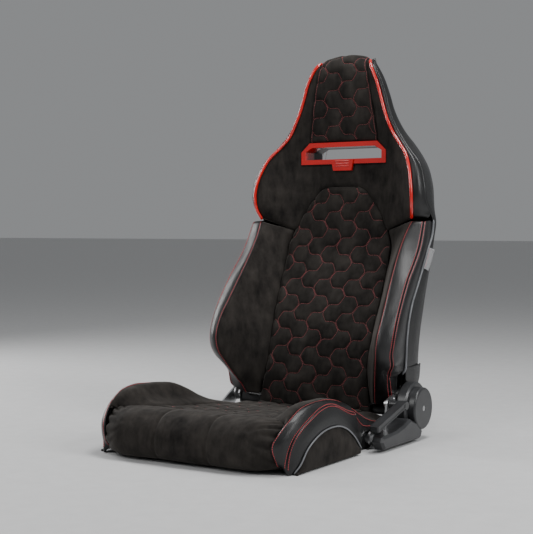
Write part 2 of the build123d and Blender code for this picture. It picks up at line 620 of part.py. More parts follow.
def harness_sleeve():
    """Straight sleeve from the front bezel's to the rear bezel."""
    outer = slot_block(SLEEVE_WALL - SLOT_RIM, SLOT_FRONT_Y + BEZEL_DEPTH, SLOT_REAR_Y - 6)
    return outer - slot_block(-SLOT_RIM, SLOT_FRONT_Y, SLOT_REAR_Y)


def harness_rear_bezel():
    """Plain bezel on the rear shell."""
    ring = slot_block(-2, SLOT_REAR_Y - 6, SLOT_REAR_Y)
    return ring - slot_block(-SLOT_RIM, SLOT_REAR_Y - 10, SLOT_REAR_Y + 5)


def slot_clearance():
    """Space that the pads and the shell leave round the sleeve."""
    return slot_block(SLEEVE_WALL - SLOT_RIM + SOFT_GAP, 250, 480)


def bezel_seat():
    """Recess for the front bezel in the shoulder pad."""
    return slot_block(SOFT_GAP, 300, SLOT_FRONT_Y + 9)


def shoulder_pad():
    """Pad across the shoulders, with the harness slot through it."""
    pad = padded_block(SHOULDER_SECTIONS, SHOULDER_PAD_T)
    pad = pad - slot_clearance() - bezel_seat()
    return pad - box_between((-33, 300, SLOT_Z[0] - 18), (33, SLOT_FRONT_Y + 6, SLOT_Z[0] + 2))


def back_shell():
    """Thin rear shell: rear face, corners, side lips and a flap down each side to the hinge."""
    sections = []
    for z, lip, corner, rear in SHELL_SECTIONS:
        middle = 0.62 * corner[0]
        outer = [lip, corner, (middle, rear)]
        inner = [(middle - 1, rear - SHELL_T), (corner[0] - SHELL_T, corner[1] - SHELL_T),
                 (lip[0] - SHELL_T, lip[1])]
        half = outer + [(-x, y) for x, y in reversed(outer)]
        back = [(-x, y) for x, y in reversed(inner)] + inner
        sections.append((z, half + back))
    shell = stacked(sections)
    flap = plate_yz([(242, 172), (242, 126), (250, 118), (298, 118), (316, 138), (320, 172)], *SHELL_FLAP_X)
    shell = shell + flap + mirrored(flap)
    return shell - slot_clearance() - slot_block(-2 + SOFT_GAP, SLOT_REAR_Y - 6, 480)


def lower_back_panel():
    """Flat closing panel below the shell."""
    outline = [(348, 150), (294, 76), (291, 78), (344.5, 151)]
    return plate_yz(outline, -186, 186)


def red_piping():
    """Glossy piping from the head down to the tip of the shoulder wing (+X side)."""
    return rod(RED_ROUTE, PIPING_R, soft_bends(RED_ROUTE))


def back_welt():
    """Grey piping between the side panel and the rear shell (+X side)."""
    return rod(WELT_ROUTE, WELT_R, soft_bends(WELT_ROUTE))


def side_tag():
    """Small blank tag sewn beside the welt on the +X side."""
    return plate_yz([(305, 398), (341, 390), (378, 441), (339, 447)], 248.0, 249.5)


# ---------------------------------------------------------------- write every node
save(base_rail(), "base_rail_right")
save(mirrored(base_rail()), "base_rail_left")
save(rail_nuts(), "rail_nuts")
save(cross_tube(FRONT_TUBE_Y), "front_cross_tube")
save(cross_tube(REAR_TUBE_Y), "rear_cross_tube")
save(seat_springs(), "seat_springs")
save(seat_center_pad(), "seat_center_pad")
save(seat_front_roll(), "seat_front_roll")
save(seat_bolster(), "seat_bolster_right")
save(mirrored(seat_bolster()), "seat_bolster_left")
save(seat_piping(), "seat_piping_right")
save(mirrored(seat_piping()), "seat_piping_left")

save(bracket_plate(24, True), "recliner_bracket")
save(mirrored(bracket_plate(17, False)), "hinge_bracket_left")
spacers = [bracket_spacer(y, z) for y, z in BRACKET_BOLTS_YZ]
save(spacers + [mirrored(spacer) for spacer in spacers], "bracket_spacers")
bolts = [bracket_bolt(y, z) for y, z in BRACKET_BOLTS_YZ]
save(bolts + [mirrored(bolt) for bolt in bolts], "bracket_bolts")
save([pivot_bolt(), mirrored(pivot_bolt())], "pivot_bolts")
save(spiral_spring(), "recliner_spring")
save(pawl_pin(), "pawl_pin")
save(recliner_cover(), "recliner_cover")
save(recliner_cap(), "recliner_cap")
save(cap_screw(), "cap_screw")

save(recliner_arm(), "recliner_arm")
save(mirrored(arm_plate(disc_x(PIVOT_Y, PIVOT_Z, 17, *ARM_X))), "hinge_arm_left")
arm_spacers = [arm_spacer(y, z) for y, z in ARM_BOLTS_YZ]
save(arm_spacers + [mirrored(spacer) for spacer in arm_spacers], "arm_spacers")
arm_bolts = [arm_bolt(y, z) for y, z in ARM_BOLTS_YZ]
save(arm_bolts + [mirrored(bolt) for bolt in arm_bolts], "arm_bolts")
save(back_tube(), "back_tube_right")
save(mirrored(back_tube()), "back_tube_left")
save(straight_tube(277, 124, BACK_TUBE_X - BACK_TUBE_R, POST_R), "back_lower_tube")
save(straight_tube(SHOULDER_TUBE_Y, SHOULDER_TUBE_Z, 192, BACK_TUBE_R), "shoulder_tube")
save(tube(POST_ROUTE, POST_R, 50.0), "headrest_post_right")
save(mirrored(tube(POST_ROUTE, POST_R, 50.0)), "headrest_post_left")
save(straight_tube(393, 888, 68, POST_R), "headrest_top_tube")
save(support_wires(), "back_support_wires")

save(back_center_pad(), "back_center_pad")
save(back_bolster(), "back_bolster_right")
save(mirrored(back_bolster()), "back_bolster_left")
save(shoulder_pad(), "shoulder_pad")
save(padded_block(HEAD_SECTIONS, HEAD_PAD_T), "head_pad")
save(harness_bezel(), "harness_bezel")
save(harness_sleeve(), "harness_sleeve")
save(harness_rear_bezel(), "harness_rear_bezel")
save(back_shell(), "back_shell")
save(lower_back_panel(), "lower_back_panel")
save(red_piping(), "red_piping_right")
save(mirrored(red_piping()), "red_piping_left")
save(back_welt(), "back_welt_right")
save(mirrored(back_welt()), "back_welt_left")
save(side_tag(), "side_tag")

save(release_lever(), "release_lever")
save(lever_shaft(), "lever_shaft")
save(pawl(), "pawl")
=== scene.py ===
"""Looks of the reclinable racing seat, built round its CAD frame.

Every upholstery panel is a patch lofted between its seam lines, rolled in at those seams, crowned or
quilted between them, and closed behind. Shapes are worked out in millimetres and (x, y, z) is the CAD's
frame: the seat faces -Y, +Z is up and the recliner is on the +X side.
"""
import math

import bpy
import json
import numpy as np
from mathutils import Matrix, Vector


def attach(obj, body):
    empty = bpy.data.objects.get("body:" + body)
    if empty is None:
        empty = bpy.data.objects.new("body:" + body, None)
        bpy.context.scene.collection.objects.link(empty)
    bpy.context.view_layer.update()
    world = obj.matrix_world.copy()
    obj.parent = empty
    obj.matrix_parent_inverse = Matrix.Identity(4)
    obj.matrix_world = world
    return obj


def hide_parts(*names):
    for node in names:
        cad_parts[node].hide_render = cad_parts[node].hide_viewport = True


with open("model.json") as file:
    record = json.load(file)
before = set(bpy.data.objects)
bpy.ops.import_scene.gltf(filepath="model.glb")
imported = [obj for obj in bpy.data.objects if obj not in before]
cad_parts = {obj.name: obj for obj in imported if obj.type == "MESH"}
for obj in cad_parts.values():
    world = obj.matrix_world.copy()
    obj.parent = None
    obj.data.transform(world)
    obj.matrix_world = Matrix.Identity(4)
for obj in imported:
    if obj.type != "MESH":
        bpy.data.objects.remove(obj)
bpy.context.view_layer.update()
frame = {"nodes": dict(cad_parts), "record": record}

MM = 0.001
SEAT, BACK = "seat_base", "backrest"
SIDES = {"right": 1.0, "left": -1.0}       # +X and -X side


# ---------------------------------------------------------------- curves and patches
def hermite(knots, points, at):
    """Smooth curve through points with the given knots, evaluated at the parameters at."""
    knots, points, at = np.asarray(knots, float), np.asarray(points, float), np.asarray(at, float)
    if len(knots) == 2:
        slopes = np.repeat((points[1:] - points[:1]) / (knots[1] - knots[0]), 2, axis=0)
    else:
        slopes = np.gradient(points, knots, axis=0)
    i = np.clip(np.searchsorted(knots, at, side="right") - 1, 0, len(knots) - 2)
    span = (knots[i + 1] - knots[i])[:, None]
    t = ((at - knots[i])[:, None]) / span
    return ((2 * t**3 - 3 * t**2 + 1) * points[i] + (t**3 - 2 * t**2 + t) * span * slopes[i]
            + (3 * t**2 - 2 * t**3) * points[i + 1] + (t**3 - t**2) * span * slopes[i + 1])


def lengths(points):
    """Distance along a polyline at each of its points."""
    steps = np.linalg.norm(np.diff(points, axis=0), axis=1)
    return np.concatenate([[0.0], np.cumsum(steps)])


def curve(points, count):
    """count evenly spaced points along a smooth curve through points."""
    points = np.asarray(points, float)
    knots = lengths(points)
    dense = hermite(knots, points, np.linspace(0, knots[-1], 40 * len(points)))
    along = lengths(dense)
    even = np.linspace(0, along[-1], count)
    return np.stack([np.interp(even, along, dense[:, k]) for k in range(3)], axis=1)


def loft(rails, columns):
    """Smooth surface across rails of equal length; columns[k] is the number of steps between two rails.
    It returns one grid per gap, which share their border points."""
    rails = np.asarray(rails, float)
    gaps = np.linalg.norm(np.diff(rails, axis=0), axis=2).mean(axis=1)
    knots = np.concatenate([[0.0], np.cumsum(gaps)])
    flat = rails.reshape(len(rails), -1)
    grids = []
    for k, steps in enumerate(columns):
        at = np.linspace(knots[k], knots[k + 1], steps + 1)
        at[-1] -= 1e-9
        across = hermite(knots, flat, at).reshape(steps + 1, rails.shape[1], 3)
        grids.append(across.transpose(1, 0, 2))
    return grids


def normals(grid, towards):
    """Unit normals of a grid, on the side that towards(points) points to."""
    down, across = np.gradient(grid, axis=0), np.gradient(grid, axis=1)
    n = np.cross(across, down)
    n /= np.maximum(np.linalg.norm(n, axis=2, keepdims=True), 1e-9)
    return n if (n * towards(grid)).sum() > 0 else -n


def facing(x, y, z):
    """A direction for normals()."""
    return lambda grid: np.broadcast_to(np.array([x, y, z], float), grid.shape)


def away(x, y, z):
    """Directions away from a point, for normals()."""
    return lambda grid: grid - np.array([x, y, z], float)


def side_distances(grid):
    """Distance of each grid point from the grid's first and last column and its first and last row."""
    across = np.linalg.norm(np.diff(grid, axis=1), axis=2)
    down = np.linalg.norm(np.diff(grid, axis=0), axis=2)
    left = np.concatenate([np.zeros((grid.shape[0], 1)), np.cumsum(across, axis=1)], axis=1)
    low = np.concatenate([np.zeros((1, grid.shape[1])), np.cumsum(down, axis=0)], axis=0)
    return left, left[:, -1:] - left, low, low[-1:, :] - low


def rolled(distance, depth, reach, start=0.0):
    """Offset of a panel that dives into a seam at that distance; start is where the seam lies."""
    return -depth * np.clip(1 - (distance - start) / reach, 0, 1) ** 2


def polyline_distance(points, line):
    """Distance of each point from a polyline, both in a plane."""
    best = np.full(len(points), 1e9)
    for a, b in zip(line[:-1], line[1:]):
        ab = b - a
        t = np.clip(((points - a) @ ab) / max(ab @ ab, 1e-9), 0, 1)
        best = np.minimum(best, np.linalg.norm(points - a - t[:, None] * ab, axis=1))
    return best


def flat_distance(x, y, line):
    """The same for points given by two arrays of their coordinates."""
    return polyline_distance(np.stack([x.ravel(), y.ravel()], axis=1), line).reshape(x.shape)


def smooth_noise(points, size, seed):
    """Value noise in about -1 to 1 with features of that size."""
    rng = np.random.default_rng(seed)
    table = rng.uniform(-1, 1, (16, 16, 16))
    q = points / size
    base = np.floor(q).astype(int)
    f = q - base
    f = f * f * (3 - 2 * f)
    total = 0.0
    for dx in (0, 1):
        for dy in (0, 1):
            for dz in (0, 1):
                corner = (base + np.array([dx, dy, dz])) % 16
                weight = ((f[..., 0] if dx else 1 - f[..., 0]) * (f[..., 1] if dy else 1 - f[..., 1])
                          * (f[..., 2] if dz else 1 - f[..., 2]))
                total = total + weight * table[corner[..., 0], corner[..., 1], corner[..., 2]]
    return total


class Patch:
    """A grid of points with normals, which can be pushed along them and read between its points."""

    def __init__(self, grid, towards):
        self.points = np.array(grid, float)
        self.towards = towards
        self.normal = normals(self.points, towards)

    def push(self, offset):
        self.points = self.points + self.normal * np.asarray(offset)[..., None]
        return self

    def settle(self):
        self.normal = normals(self.points, self.towards)
        return self

    def at(self, rows, cols, lift=0.0):
        """Points and normals at fractional rows and columns."""
        rows = np.clip(rows, 0, self.points.shape[0] - 1.001)
        cols = np.clip(cols, 0, self.points.shape[1] - 1.001)
        r, c = np.floor(rows).astype(int), np.floor(cols).astype(int)
        fr, fc = (rows - r)[:, None], (cols - c)[:, None]

        def read(data):
            return (data[r, c] * (1 - fr) * (1 - fc) + data[r + 1, c] * fr * (1 - fc)
                    + data[r, c + 1] * (1 - fr) * fc + data[r + 1, c + 1] * fr * fc)

        n = read(self.normal)
        n /= np.maximum(np.linalg.norm(n, axis=1, keepdims=True), 1e-9)
        return read(self.points) + n * lift, n

    def column(self, distance, lift=0.0):
        """A line that runs along the patch at that distance from its first (or last, if negative) column."""
        left = side_distances(self.points)[0]
        wanted = distance if distance >= 0 else left[:, -1] + distance
        wanted = np.broadcast_to(wanted, left.shape[:1])
        cols = np.array([np.interp(w, row, np.arange(len(row))) for w, row in zip(wanted, left)])
        return self.at(np.arange(left.shape[0]) * 1.0, cols, lift)


def mirrored(grid, side):
    return np.asarray(grid, float) * np.array([side, 1.0, 1.0])


def sheet(x, y, z):
    """A grid of points from coordinates that spread to one shape."""
    return np.stack(np.broadcast_arrays(x, y, z), axis=-1).astype(float)


def joined(grids):
    """Grids of a loft, side by side, without the borders that they share."""
    return np.concatenate([grid[:, :-1] for grid in grids[:-1]] + [grids[-1]], axis=1)


def bands_between(first, last, steps):
    """A flat grid between two lines, with that many rows."""
    return np.stack([first + (last - first) * t for t in np.linspace(0, 1, steps)])


# ---------------------------------------------------------------- meshes
def add_mesh(name, vertices, faces, material, body, slot):
    """A mesh object from points in millimetres, riding on a body."""
    data = bpy.data.meshes.new(name)
    data.from_pydata((np.asarray(vertices) * MM).tolist(), [], [list(f) for f in faces])
    data.update()
    data.materials.append(material)
    data.polygons.foreach_set("use_smooth", [True] * len(data.polygons))
    piece = bpy.data.objects.new(name, data)
    bpy.context.scene.collection.objects.link(piece)
    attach(piece, body)
    return piece


def grid_quads(rows, cols):
    index = np.arange(rows * cols).reshape(rows, cols)
    return np.stack([index[:-1, :-1], index[:-1, 1:], index[1:, 1:], index[1:, :-1]], axis=-1).reshape(-1, 4)


def closed(patch, thickness, keep=None):
    """Vertices and faces of a patch with a back face and a rim; keep says which of its quads stay."""
    grid, count = patch.points, patch.points.shape[0] * patch.points.shape[1]
    quads = grid_quads(*grid.shape[:2])
    if keep is not None:
        quads = quads[keep(grid.reshape(-1, 3)[quads].mean(axis=1))]
    flat = grid.reshape(-1, 3)
    a, b, c = flat[quads[:, 0]], flat[quads[:, 1]], flat[quads[:, 2]]
    if (np.cross(b - a, c - b) * patch.normal.reshape(-1, 3)[quads[:, 0]]).sum() < 0:
        quads = quads[:, ::-1]
    edges = np.concatenate([quads[:, [k, (k + 1) % 4]] for k in range(4)])
    keys = np.sort(edges, axis=1) @ np.array([count, 1])
    _, first, uses = np.unique(keys, return_index=True, return_counts=True)
    border = edges[first[uses == 1]]
    rim = np.stack([border[:, 1], border[:, 0], border[:, 0] + count, border[:, 1] + count], axis=1)
    faces = np.concatenate([quads, quads[:, ::-1] + count, rim])
    vertices = np.concatenate([flat, (grid - patch.normal * thickness).reshape(-1, 3)])
    used = np.unique(faces)
    renumber = np.zeros(2 * count, int)
    renumber[used] = np.arange(len(used))
    return vertices[used], renumber[faces]


def add_panel(name, patch, thickness, material, body, slot, keep=None, padded=None, replaces=()):
    """A closed panel from a patch."""
    piece = add_mesh(name, *closed(patch, thickness, keep), material, body, slot)
    if replaces:
        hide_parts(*replaces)
    return piece


def sewn_panel(name, grid, towards, rolls, puckers, thickness, material, body, slot, extra=0.0, **options):
    """A panel that rolls into the seams round it and isn't quite even.
    rolls has the rest of rolled()'s arguments for its left, right, low and high side, or None,
    puckers has (height, size, seed), and extra is an offset of its own."""
    patch = Patch(grid, towards)
    sides = zip(side_distances(patch.points), rolls)
    patch.push(sum((rolled(distance, *roll) for distance, roll in sides if roll), extra))
    patch.push(sum(height * smooth_noise(patch.points, size, seed) for height, size, seed in puckers)).settle()
    add_panel(name, patch, thickness, material, body, slot, **options)
    return patch


def frames(points, hint=(0.0, 0.0, 1.0)):
    """Tangent and two cross directions along a polyline, without twist."""
    tangent = np.gradient(points, axis=0)
    tangent /= np.maximum(np.linalg.norm(tangent, axis=1, keepdims=True), 1e-9)
    one = np.cross(tangent[0], hint)
    if np.linalg.norm(one) < 1e-3:
        one = np.cross(tangent[0], (1.0, 0.0, 0.0))
    ones = []
    for t in tangent:
        one = one - t * (one @ t)
        one = one / np.linalg.norm(one)
        ones.append(one)
    ones = np.array(ones)
    return tangent, ones, np.cross(tangent, ones)


def add_tube(name, points, radius, material, body, slot, sides=14, taper=3, replaces=()):
    """A round tube along points, with rounded ends."""
    points = np.asarray(points, float)
    _, one, two = frames(points)
    radii = np.full(len(points), float(radius))
    for k in range(taper):
        shrink = math.sqrt(1 - (1 - (k + 0.5) / taper) ** 2)
        radii[k] *= shrink
        radii[-1 - k] *= shrink
    angle = np.linspace(0, 2 * math.pi, sides, endpoint=False)
    ring = one[:, None] * np.cos(angle)[None, :, None] + two[:, None] * np.sin(angle)[None, :, None]
    vertices = (points[:, None] + ring * radii[:, None, None]).reshape(-1, 3)
    index = np.arange(len(points) * sides).reshape(-1, sides)
    nxt = np.roll(index, -1, axis=1)
    quads = np.stack([index[:-1], nxt[:-1], nxt[1:], index[1:]], axis=-1).reshape(-1, 4)
    faces = [list(q) for q in quads] + [list(index[0])[::-1], list(index[-1])]
    piece = add_mesh(name, vertices, faces, material, body, slot)
    if replaces:
        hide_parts(*replaces)
    return piece


# one stitch: rings along its length as (place, radius, sink)
STITCH_RINGS = ((-0.5, 0.35, 0.8), (-0.34, 0.9, 0.15), (0.34, 0.9, 0.15), (0.5, 0.35, 0.8))
STITCH_SIDES = 6


def stitch_centres(points, normal, length, gap):
    """Middle, direction and normal of each stitch of a seam along points."""
    along = lengths(points)
    if along[-1] < length:
        return np.zeros((0, 9))
    middles = np.arange(length * 0.6, along[-1] - length * 0.4, length + gap)
    read = [np.stack([np.interp(middles + shift, along, points[:, k]) for k in range(3)], axis=1)
            for shift in (-length / 2, length / 2)]
    n = np.stack([np.interp(middles, along, normal[:, k]) for k in range(3)], axis=1)
    return np.concatenate([(read[0] + read[1]) / 2, read[1] - read[0], n], axis=1)


def add_stitches(name, runs, radius, material, body, slot, length=3.2, gap=1.0):
    """Sewing thread along each run of (points, normals), as short separate stitches."""
    rows = np.concatenate([stitch_centres(p, n, length, gap) for p, n in runs])
    middle, run, n = rows[:, 0:3], rows[:, 3:6], rows[:, 6:9]
    n = n / np.linalg.norm(n, axis=1, keepdims=True)
    unit = run / np.linalg.norm(run, axis=1, keepdims=True)
    side = np.cross(unit, n)
    angle = np.linspace(0, 2 * math.pi, STITCH_SIDES, endpoint=False)
    rings = []
    for place, scale, sink in STITCH_RINGS:
        centre = middle + run * place - n * sink * radius
        ring = side[:, None] * np.cos(angle)[None, :, None] + n[:, None] * np.sin(angle)[None, :, None]
        rings.append(centre[:, None] + ring * radius * scale)
    vertices = np.stack(rings, axis=1).reshape(-1, 3)
    per = len(STITCH_RINGS) * STITCH_SIDES
    index = np.arange(per).reshape(-1, STITCH_SIDES)
    nxt = np.roll(index, -1, axis=1)
    body_faces = np.stack([index[:-1], nxt[:-1], nxt[1:], index[1:]], axis=-1).reshape(-1, 4)
    faces = []
    for k in range(len(rows)):
        faces += (body_faces + k * per).tolist()
        faces += [(index[0][::-1] + k * per).tolist(), (index[-1] + k * per).tolist()]
    return add_mesh(name, vertices, faces, material, body, slot)


# ---------------------------------------------------------------- materials
class Look:
    """A new material with shortcuts for its nodes. Its textures lie in the object's own coordinates."""

    def __init__(self, name):
        self.material = bpy.data.materials.new(name)
        self.material.use_nodes = True
        self.tree = self.material.node_tree
        self.place = self.tree.nodes.new("ShaderNodeTexCoord").outputs["Object"]

    def feed(self, node, inputs):
        """Sets each input to a value, or links it to another node's output."""
        for key, value in inputs.items():
            if isinstance(value, bpy.types.NodeSocket):
                self.tree.links.new(value, node.inputs[key])
            else:
                node.inputs[key].default_value = value

    def add(self, kind, inputs, output=0, **settings):
        """The output of a new node."""
        node = self.tree.nodes.new("ShaderNode" + kind)
        for key, value in settings.items():
            setattr(node, key, value)
        self.feed(node, inputs)
        return node.outputs[output]

    def noise(self, scale, detail=3.0, roughness=0.55, stretch=None):
        place = self.place
        if stretch is not None:
            place = self.add("Mapping", {"Scale": stretch, "Vector": place}, "Vector")
        return self.add("TexNoise", {"Scale": scale, "Detail": detail, "Roughness": roughness, "Vector": place},
                        "Fac")

    def ramp(self, value, *stops):
        """Colours between two stops of (position, colour)."""
        node = self.tree.nodes.new("ShaderNodeValToRGB")
        for element, (position, color) in zip(node.color_ramp.elements, stops):
            element.position, element.color = position, (*color, 1.0)
        self.feed(node, {"Fac": value})
        return node.outputs["Color"]

    def spread(self, value, low, high, start=0.3, end=0.7):
        return self.add("MapRange", {"From Min": start, "From Max": end, "To Min": low, "To Max": high,
                                     "Value": value}, "Result")

    def shade(self, inputs, *bumps):
        """Sets the shader's inputs, chains bumps of (value, strength, distance in mm), returns the material."""
        for value, strength, distance in bumps:
            before = {"Normal": inputs["Normal"]} if "Normal" in inputs else {}
            bump = {"Strength": strength, "Distance": distance * MM, "Height": value, **before}
            inputs = {**inputs, "Normal": self.add("Bump", bump, "Normal")}
        self.feed(self.tree.nodes["Principled BSDF"], inputs)
        return self.material


def suede(name, dark, light):
    """Microfibre suede: brushed clouds of nap, a fine pile and a soft sheen."""
    look = Look(name)
    cloud, streak = look.noise(16.0, 5.0, 0.62), look.noise(55.0, 4.0, 0.6, stretch=(1.0, 1.0, 0.35))
    fibre = look.noise(900.0, 2.0, 0.7)
    nap = look.add("Math", {0: cloud, 1: 0.55}, operation="MULTIPLY")
    nap = look.add("Math", {0: streak, 1: 0.45, 2: nap}, operation="MULTIPLY_ADD")
    pile = look.add("Math", {0: fibre, 1: 0.16, 2: nap}, operation="MULTIPLY_ADD")
    return look.shade({"Base Color": look.ramp(pile, (0.42, dark), (0.74, light)),
                       "Roughness": look.spread(nap, 0.98, 0.82), "Specular IOR Level": 0.2,
                       "Sheen Weight": 0.12, "Sheen Roughness": 0.38, "Sheen Tint": (0.80, 0.74, 0.68, 1.0)},
                      (streak, 0.25, 0.8), (fibre, 0.55, 0.25))


def leather(name, base, wear, rough):
    """Grained leather: pebbles of about a millimetre, finer creases and slightly uneven gloss."""
    look = Look(name)
    shift = look.add("TexNoise", {"Scale": 260.0, "Vector": look.place}, "Color")
    wobble = look.add("Mix", {"Factor": 0.003, "A": look.place, "B": shift}, "Result", data_type="VECTOR")
    cells = look.add("TexVoronoi", {"Scale": 620.0, "Vector": wobble}, "Distance", feature="DISTANCE_TO_EDGE")
    pebble = look.spread(cells, 0.0, 1.0, 0.0, 0.16)
    patchy, fine = look.noise(30.0, 4.0), look.noise(1500.0, 2.0)
    return look.shade({"Base Color": look.ramp(patchy, (0.35, base), (0.75, wear)),
                       "Roughness": look.spread(patchy, *rough), "Specular IOR Level": 0.5},
                      (pebble, 0.42, 0.16), (fine, 0.2, 0.06))


def coated(name, low, high, rough, coat=0.0, bump_scale=700.0, bump=0.08, metallic=0.0, stretch=None):
    """Plastic, paint or metal with slight colour variation, uneven gloss and a fine surface texture."""
    look = Look(name)
    patchy, fine = look.noise(25.0, 4.0), look.noise(bump_scale, 3.0, stretch=stretch)
    return look.shade({"Base Color": look.ramp(patchy, (0.3, low), (0.7, high)),
                       "Roughness": look.spread(fine, *rough), "Metallic": metallic,
                       "Coat Weight": coat, "Coat Roughness": 0.06}, (fine, 0.5, bump))


def thread(name, low, high):
    """Twisted sewing thread."""
    look = Look(name)
    twist = look.noise(1800.0, 2.0)
    return look.shade({"Base Color": look.ramp(twist, (0.3, low), (0.7, high)), "Roughness": 0.6,
                       "Sheen Weight": 0.2}, (twist, 0.6, 0.2))


def woven(name, low, high):
    """Tight plain weave: two sets of bands across each other."""
    look = Look(name)
    waves = [look.add("TexWave", {"Scale": 300.0, "Distortion": 0.4, "Vector": look.place}, "Fac",
                      bands_direction=direction) for direction in ("Y", "Z")]
    both = look.add("Math", dict(enumerate(waves)), operation="MULTIPLY")
    return look.shade({"Base Color": look.ramp(both, (0.0, low), (0.6, high)), "Roughness": 0.85,
                       "Sheen Weight": 0.15}, (both, 0.6, 0.2))


SUEDE = suede("black_suede", (0.0062, 0.0056, 0.0052), (0.036, 0.031, 0.027))
LEATHER = leather("black_leather", (0.006, 0.006, 0.0063), (0.011, 0.011, 0.0115), (0.29, 0.41))
FELT = suede("underlay_felt", (0.010, 0.010, 0.010), (0.03, 0.03, 0.03))
RED = coated("red_gloss", (0.58, 0.006, 0.005), (0.66, 0.010, 0.007), (0.14, 0.22), coat=1.0, bump_scale=260.0)
GREY = coated("grey_piping", (0.12, 0.123, 0.132), (0.19, 0.194, 0.205), (0.34, 0.5), bump_scale=900.0,
              bump=0.12)
QUILT_THREAD = thread("burgundy_thread", (0.27, 0.045, 0.05), (0.50, 0.10, 0.11))
SEAM_THREAD = thread("red_thread", (0.52, 0.03, 0.04), (0.78, 0.07, 0.08))
PLASTIC = coated("satin_plastic", (0.022, 0.0225, 0.024), (0.034, 0.035, 0.037), (0.28, 0.4), bump=0.10)
PAINT = coated("powder_coat", (0.012, 0.012, 0.013), (0.020, 0.020, 0.021), (0.34, 0.46), bump_scale=420.0,
               bump=0.12)
ZINC = coated("bright_zinc", (0.46, 0.465, 0.47), (0.70, 0.705, 0.71), (0.24, 0.42), metallic=1.0,
              bump_scale=260.0, bump=0.03, stretch=(1.0, 1.0, 6.0))
SPRING = coated("oiled_steel", (0.13, 0.13, 0.135), (0.22, 0.22, 0.23), (0.3, 0.45), metallic=1.0)
TAG = woven("tag_weave", (0.16, 0.16, 0.165), (0.42, 0.42, 0.43))

CAD_MATERIALS = {"frame_paint": PAINT, "zinc": ZINC, "spring_steel": SPRING, "suede": SUEDE, "leather": LEATHER,
                 "grey_piping": GREY, "red_gloss": RED, "black_plastic": PLASTIC, "tag": TAG}
for entry in frame["record"]["subparts"]:
    node = frame["nodes"][entry["node"]]
    node.data.materials.clear()
    node.data.materials.append(CAD_MATERIALS[entry["material_slot"]])


# ---------------------------------------------------------------- quilting
COLUMN_PITCH, ROW_PITCH = 41.8, 44.65
CELL_SIDE = COLUMN_PITCH / 1.5
TWIN_GAP = 1.3          # the two rows of a doubled edge stand this far either side of it
QUILT_STITCH_R = 0.55


def filleted(points, radius=5.5):
    """A path whose corners are rounded by short quadratic curves."""
    points = np.asarray(points, float)
    out = [points[:1]]
    t = np.linspace(0, 1, 7)[:, None]
    for before, corner, after in zip(points[:-2], points[1:-1], points[2:]):
        start, end = (corner + (other - corner) * min(radius / np.linalg.norm(other - corner), 0.45)
                      for other in (before, after))
        out.append((1 - t)**2 * start + 2 * t * (1 - t) * corner + t**2 * end)
    return np.concatenate(out + [points[-1:]])


def quilt_paths(half, length, origin=0.0, x_offset=0.0):
    """Stitch paths of the hexagon quilting, as (x, s) lines, where s runs up the panel.
    Between two columns of hexagons every fourth slanted edge is left out and the one opposite is sewn twice."""
    paths = []
    reach = math.ceil(half / COLUMN_PITCH) + 1
    for gap in range(-reach, reach + 1):
        x_gap = gap * COLUMN_PITCH + x_offset
        kind = gap % 2
        flip = 1.0 if kind == 0 else -1.0
        for k in range(-3, int(length / ROW_PITCH) + 4):
            if (k + kind) % 2:
                continue
            # an upper corner whose flat edge leaves outwards, then the corners below it
            top = origin + k * ROW_PITCH
            out0 = np.array([x_gap - flip * CELL_SIDE / 4, top + ROW_PITCH / 2])
            in0 = np.array([x_gap + flip * CELL_SIDE / 4, top])
            out1 = out0 - [0, ROW_PITCH]
            in1 = in0 - [0, ROW_PITCH]
            step = np.array([flip * CELL_SIDE / 2, 0.0])
            twin = np.array([flip * TWIN_GAP, 0.0])
            paths.append([out0 - step, out0, in0 - twin, out1 - twin, out1 - step])
            paths.append([in0 + step, in0 + twin, out1 + twin, in1, in1 + step])
    return [filleted(p) for p in paths]


def quilt_distance(points, paths):
    """Distance of each (x, s) point from the nearest stitch path."""
    best = np.full(len(points), 60.0)
    for path in paths:
        low, high = path.min(axis=0) - 26, path.max(axis=0) + 26
        near = np.where(((points > low) & (points < high)).all(axis=1))[0]
        if len(near):
            best[near] = np.minimum(best[near], polyline_distance(points[near], path))
    return best


def quilted(patch, x, s, paths, edge, height, edge_depth, edge_reach):
    """Puffs a patch between its stitch paths. x and s place its points, edge is how far they are from its
    border."""
    near = quilt_distance(np.stack([x.ravel(), s.ravel()], axis=1), paths).reshape(x.shape)
    puff = height * (1 - np.exp(-near / 5.5)) - 0.5 * np.exp(-(near / 1.2) ** 2)
    patch.push(puff + rolled(edge, edge_depth, edge_reach))
    patch.push(0.35 * smooth_noise(patch.points, 13.0, 5)).settle()


def add_quilt_stitches(name, patch, paths, body, length, half_at, limit_at, margin, seams=()):
    """Stitches along the parts of the paths that lie inside the panel, which is length long and has the
    half-width half_at(s), and along its seams."""
    rows, cols = patch.points.shape[0] - 1, patch.points.shape[1] - 1
    runs = []
    for path in paths:
        along = lengths(path)
        even = np.linspace(0, along[-1], max(int(along[-1] / 1.2), 2))
        x, s = np.interp(even, along, path[:, 0]), np.interp(even, along, path[:, 1])
        ok = (np.abs(x) < limit_at(s)) & (s > margin) & (s < length - margin)
        bounds = np.flatnonzero(np.diff(np.concatenate([[False], ok, [False]])))
        for start, end in zip(bounds[::2], bounds[1::2]):
            if end - start > 4:
                x_in, s_in = x[start:end], s[start:end]
                runs.append(patch.at(s_in / length * rows, (x_in / half_at(s_in) + 1) / 2 * cols, 0.35))
    add_stitches(name, runs + list(seams), QUILT_STITCH_R, QUILT_THREAD, body, "suede")


# ---------------------------------------------------------------- backrest: lines
# middle plane of the front face as (z, y)
CENTRE_Z = np.array([45, 60, 160, 250, 350, 450, 520, 600, 680, 760])
CENTRE_Y = np.array([[211.5], [212], [224], [252], [296], [337], [352], [360], [365.5], [360]])


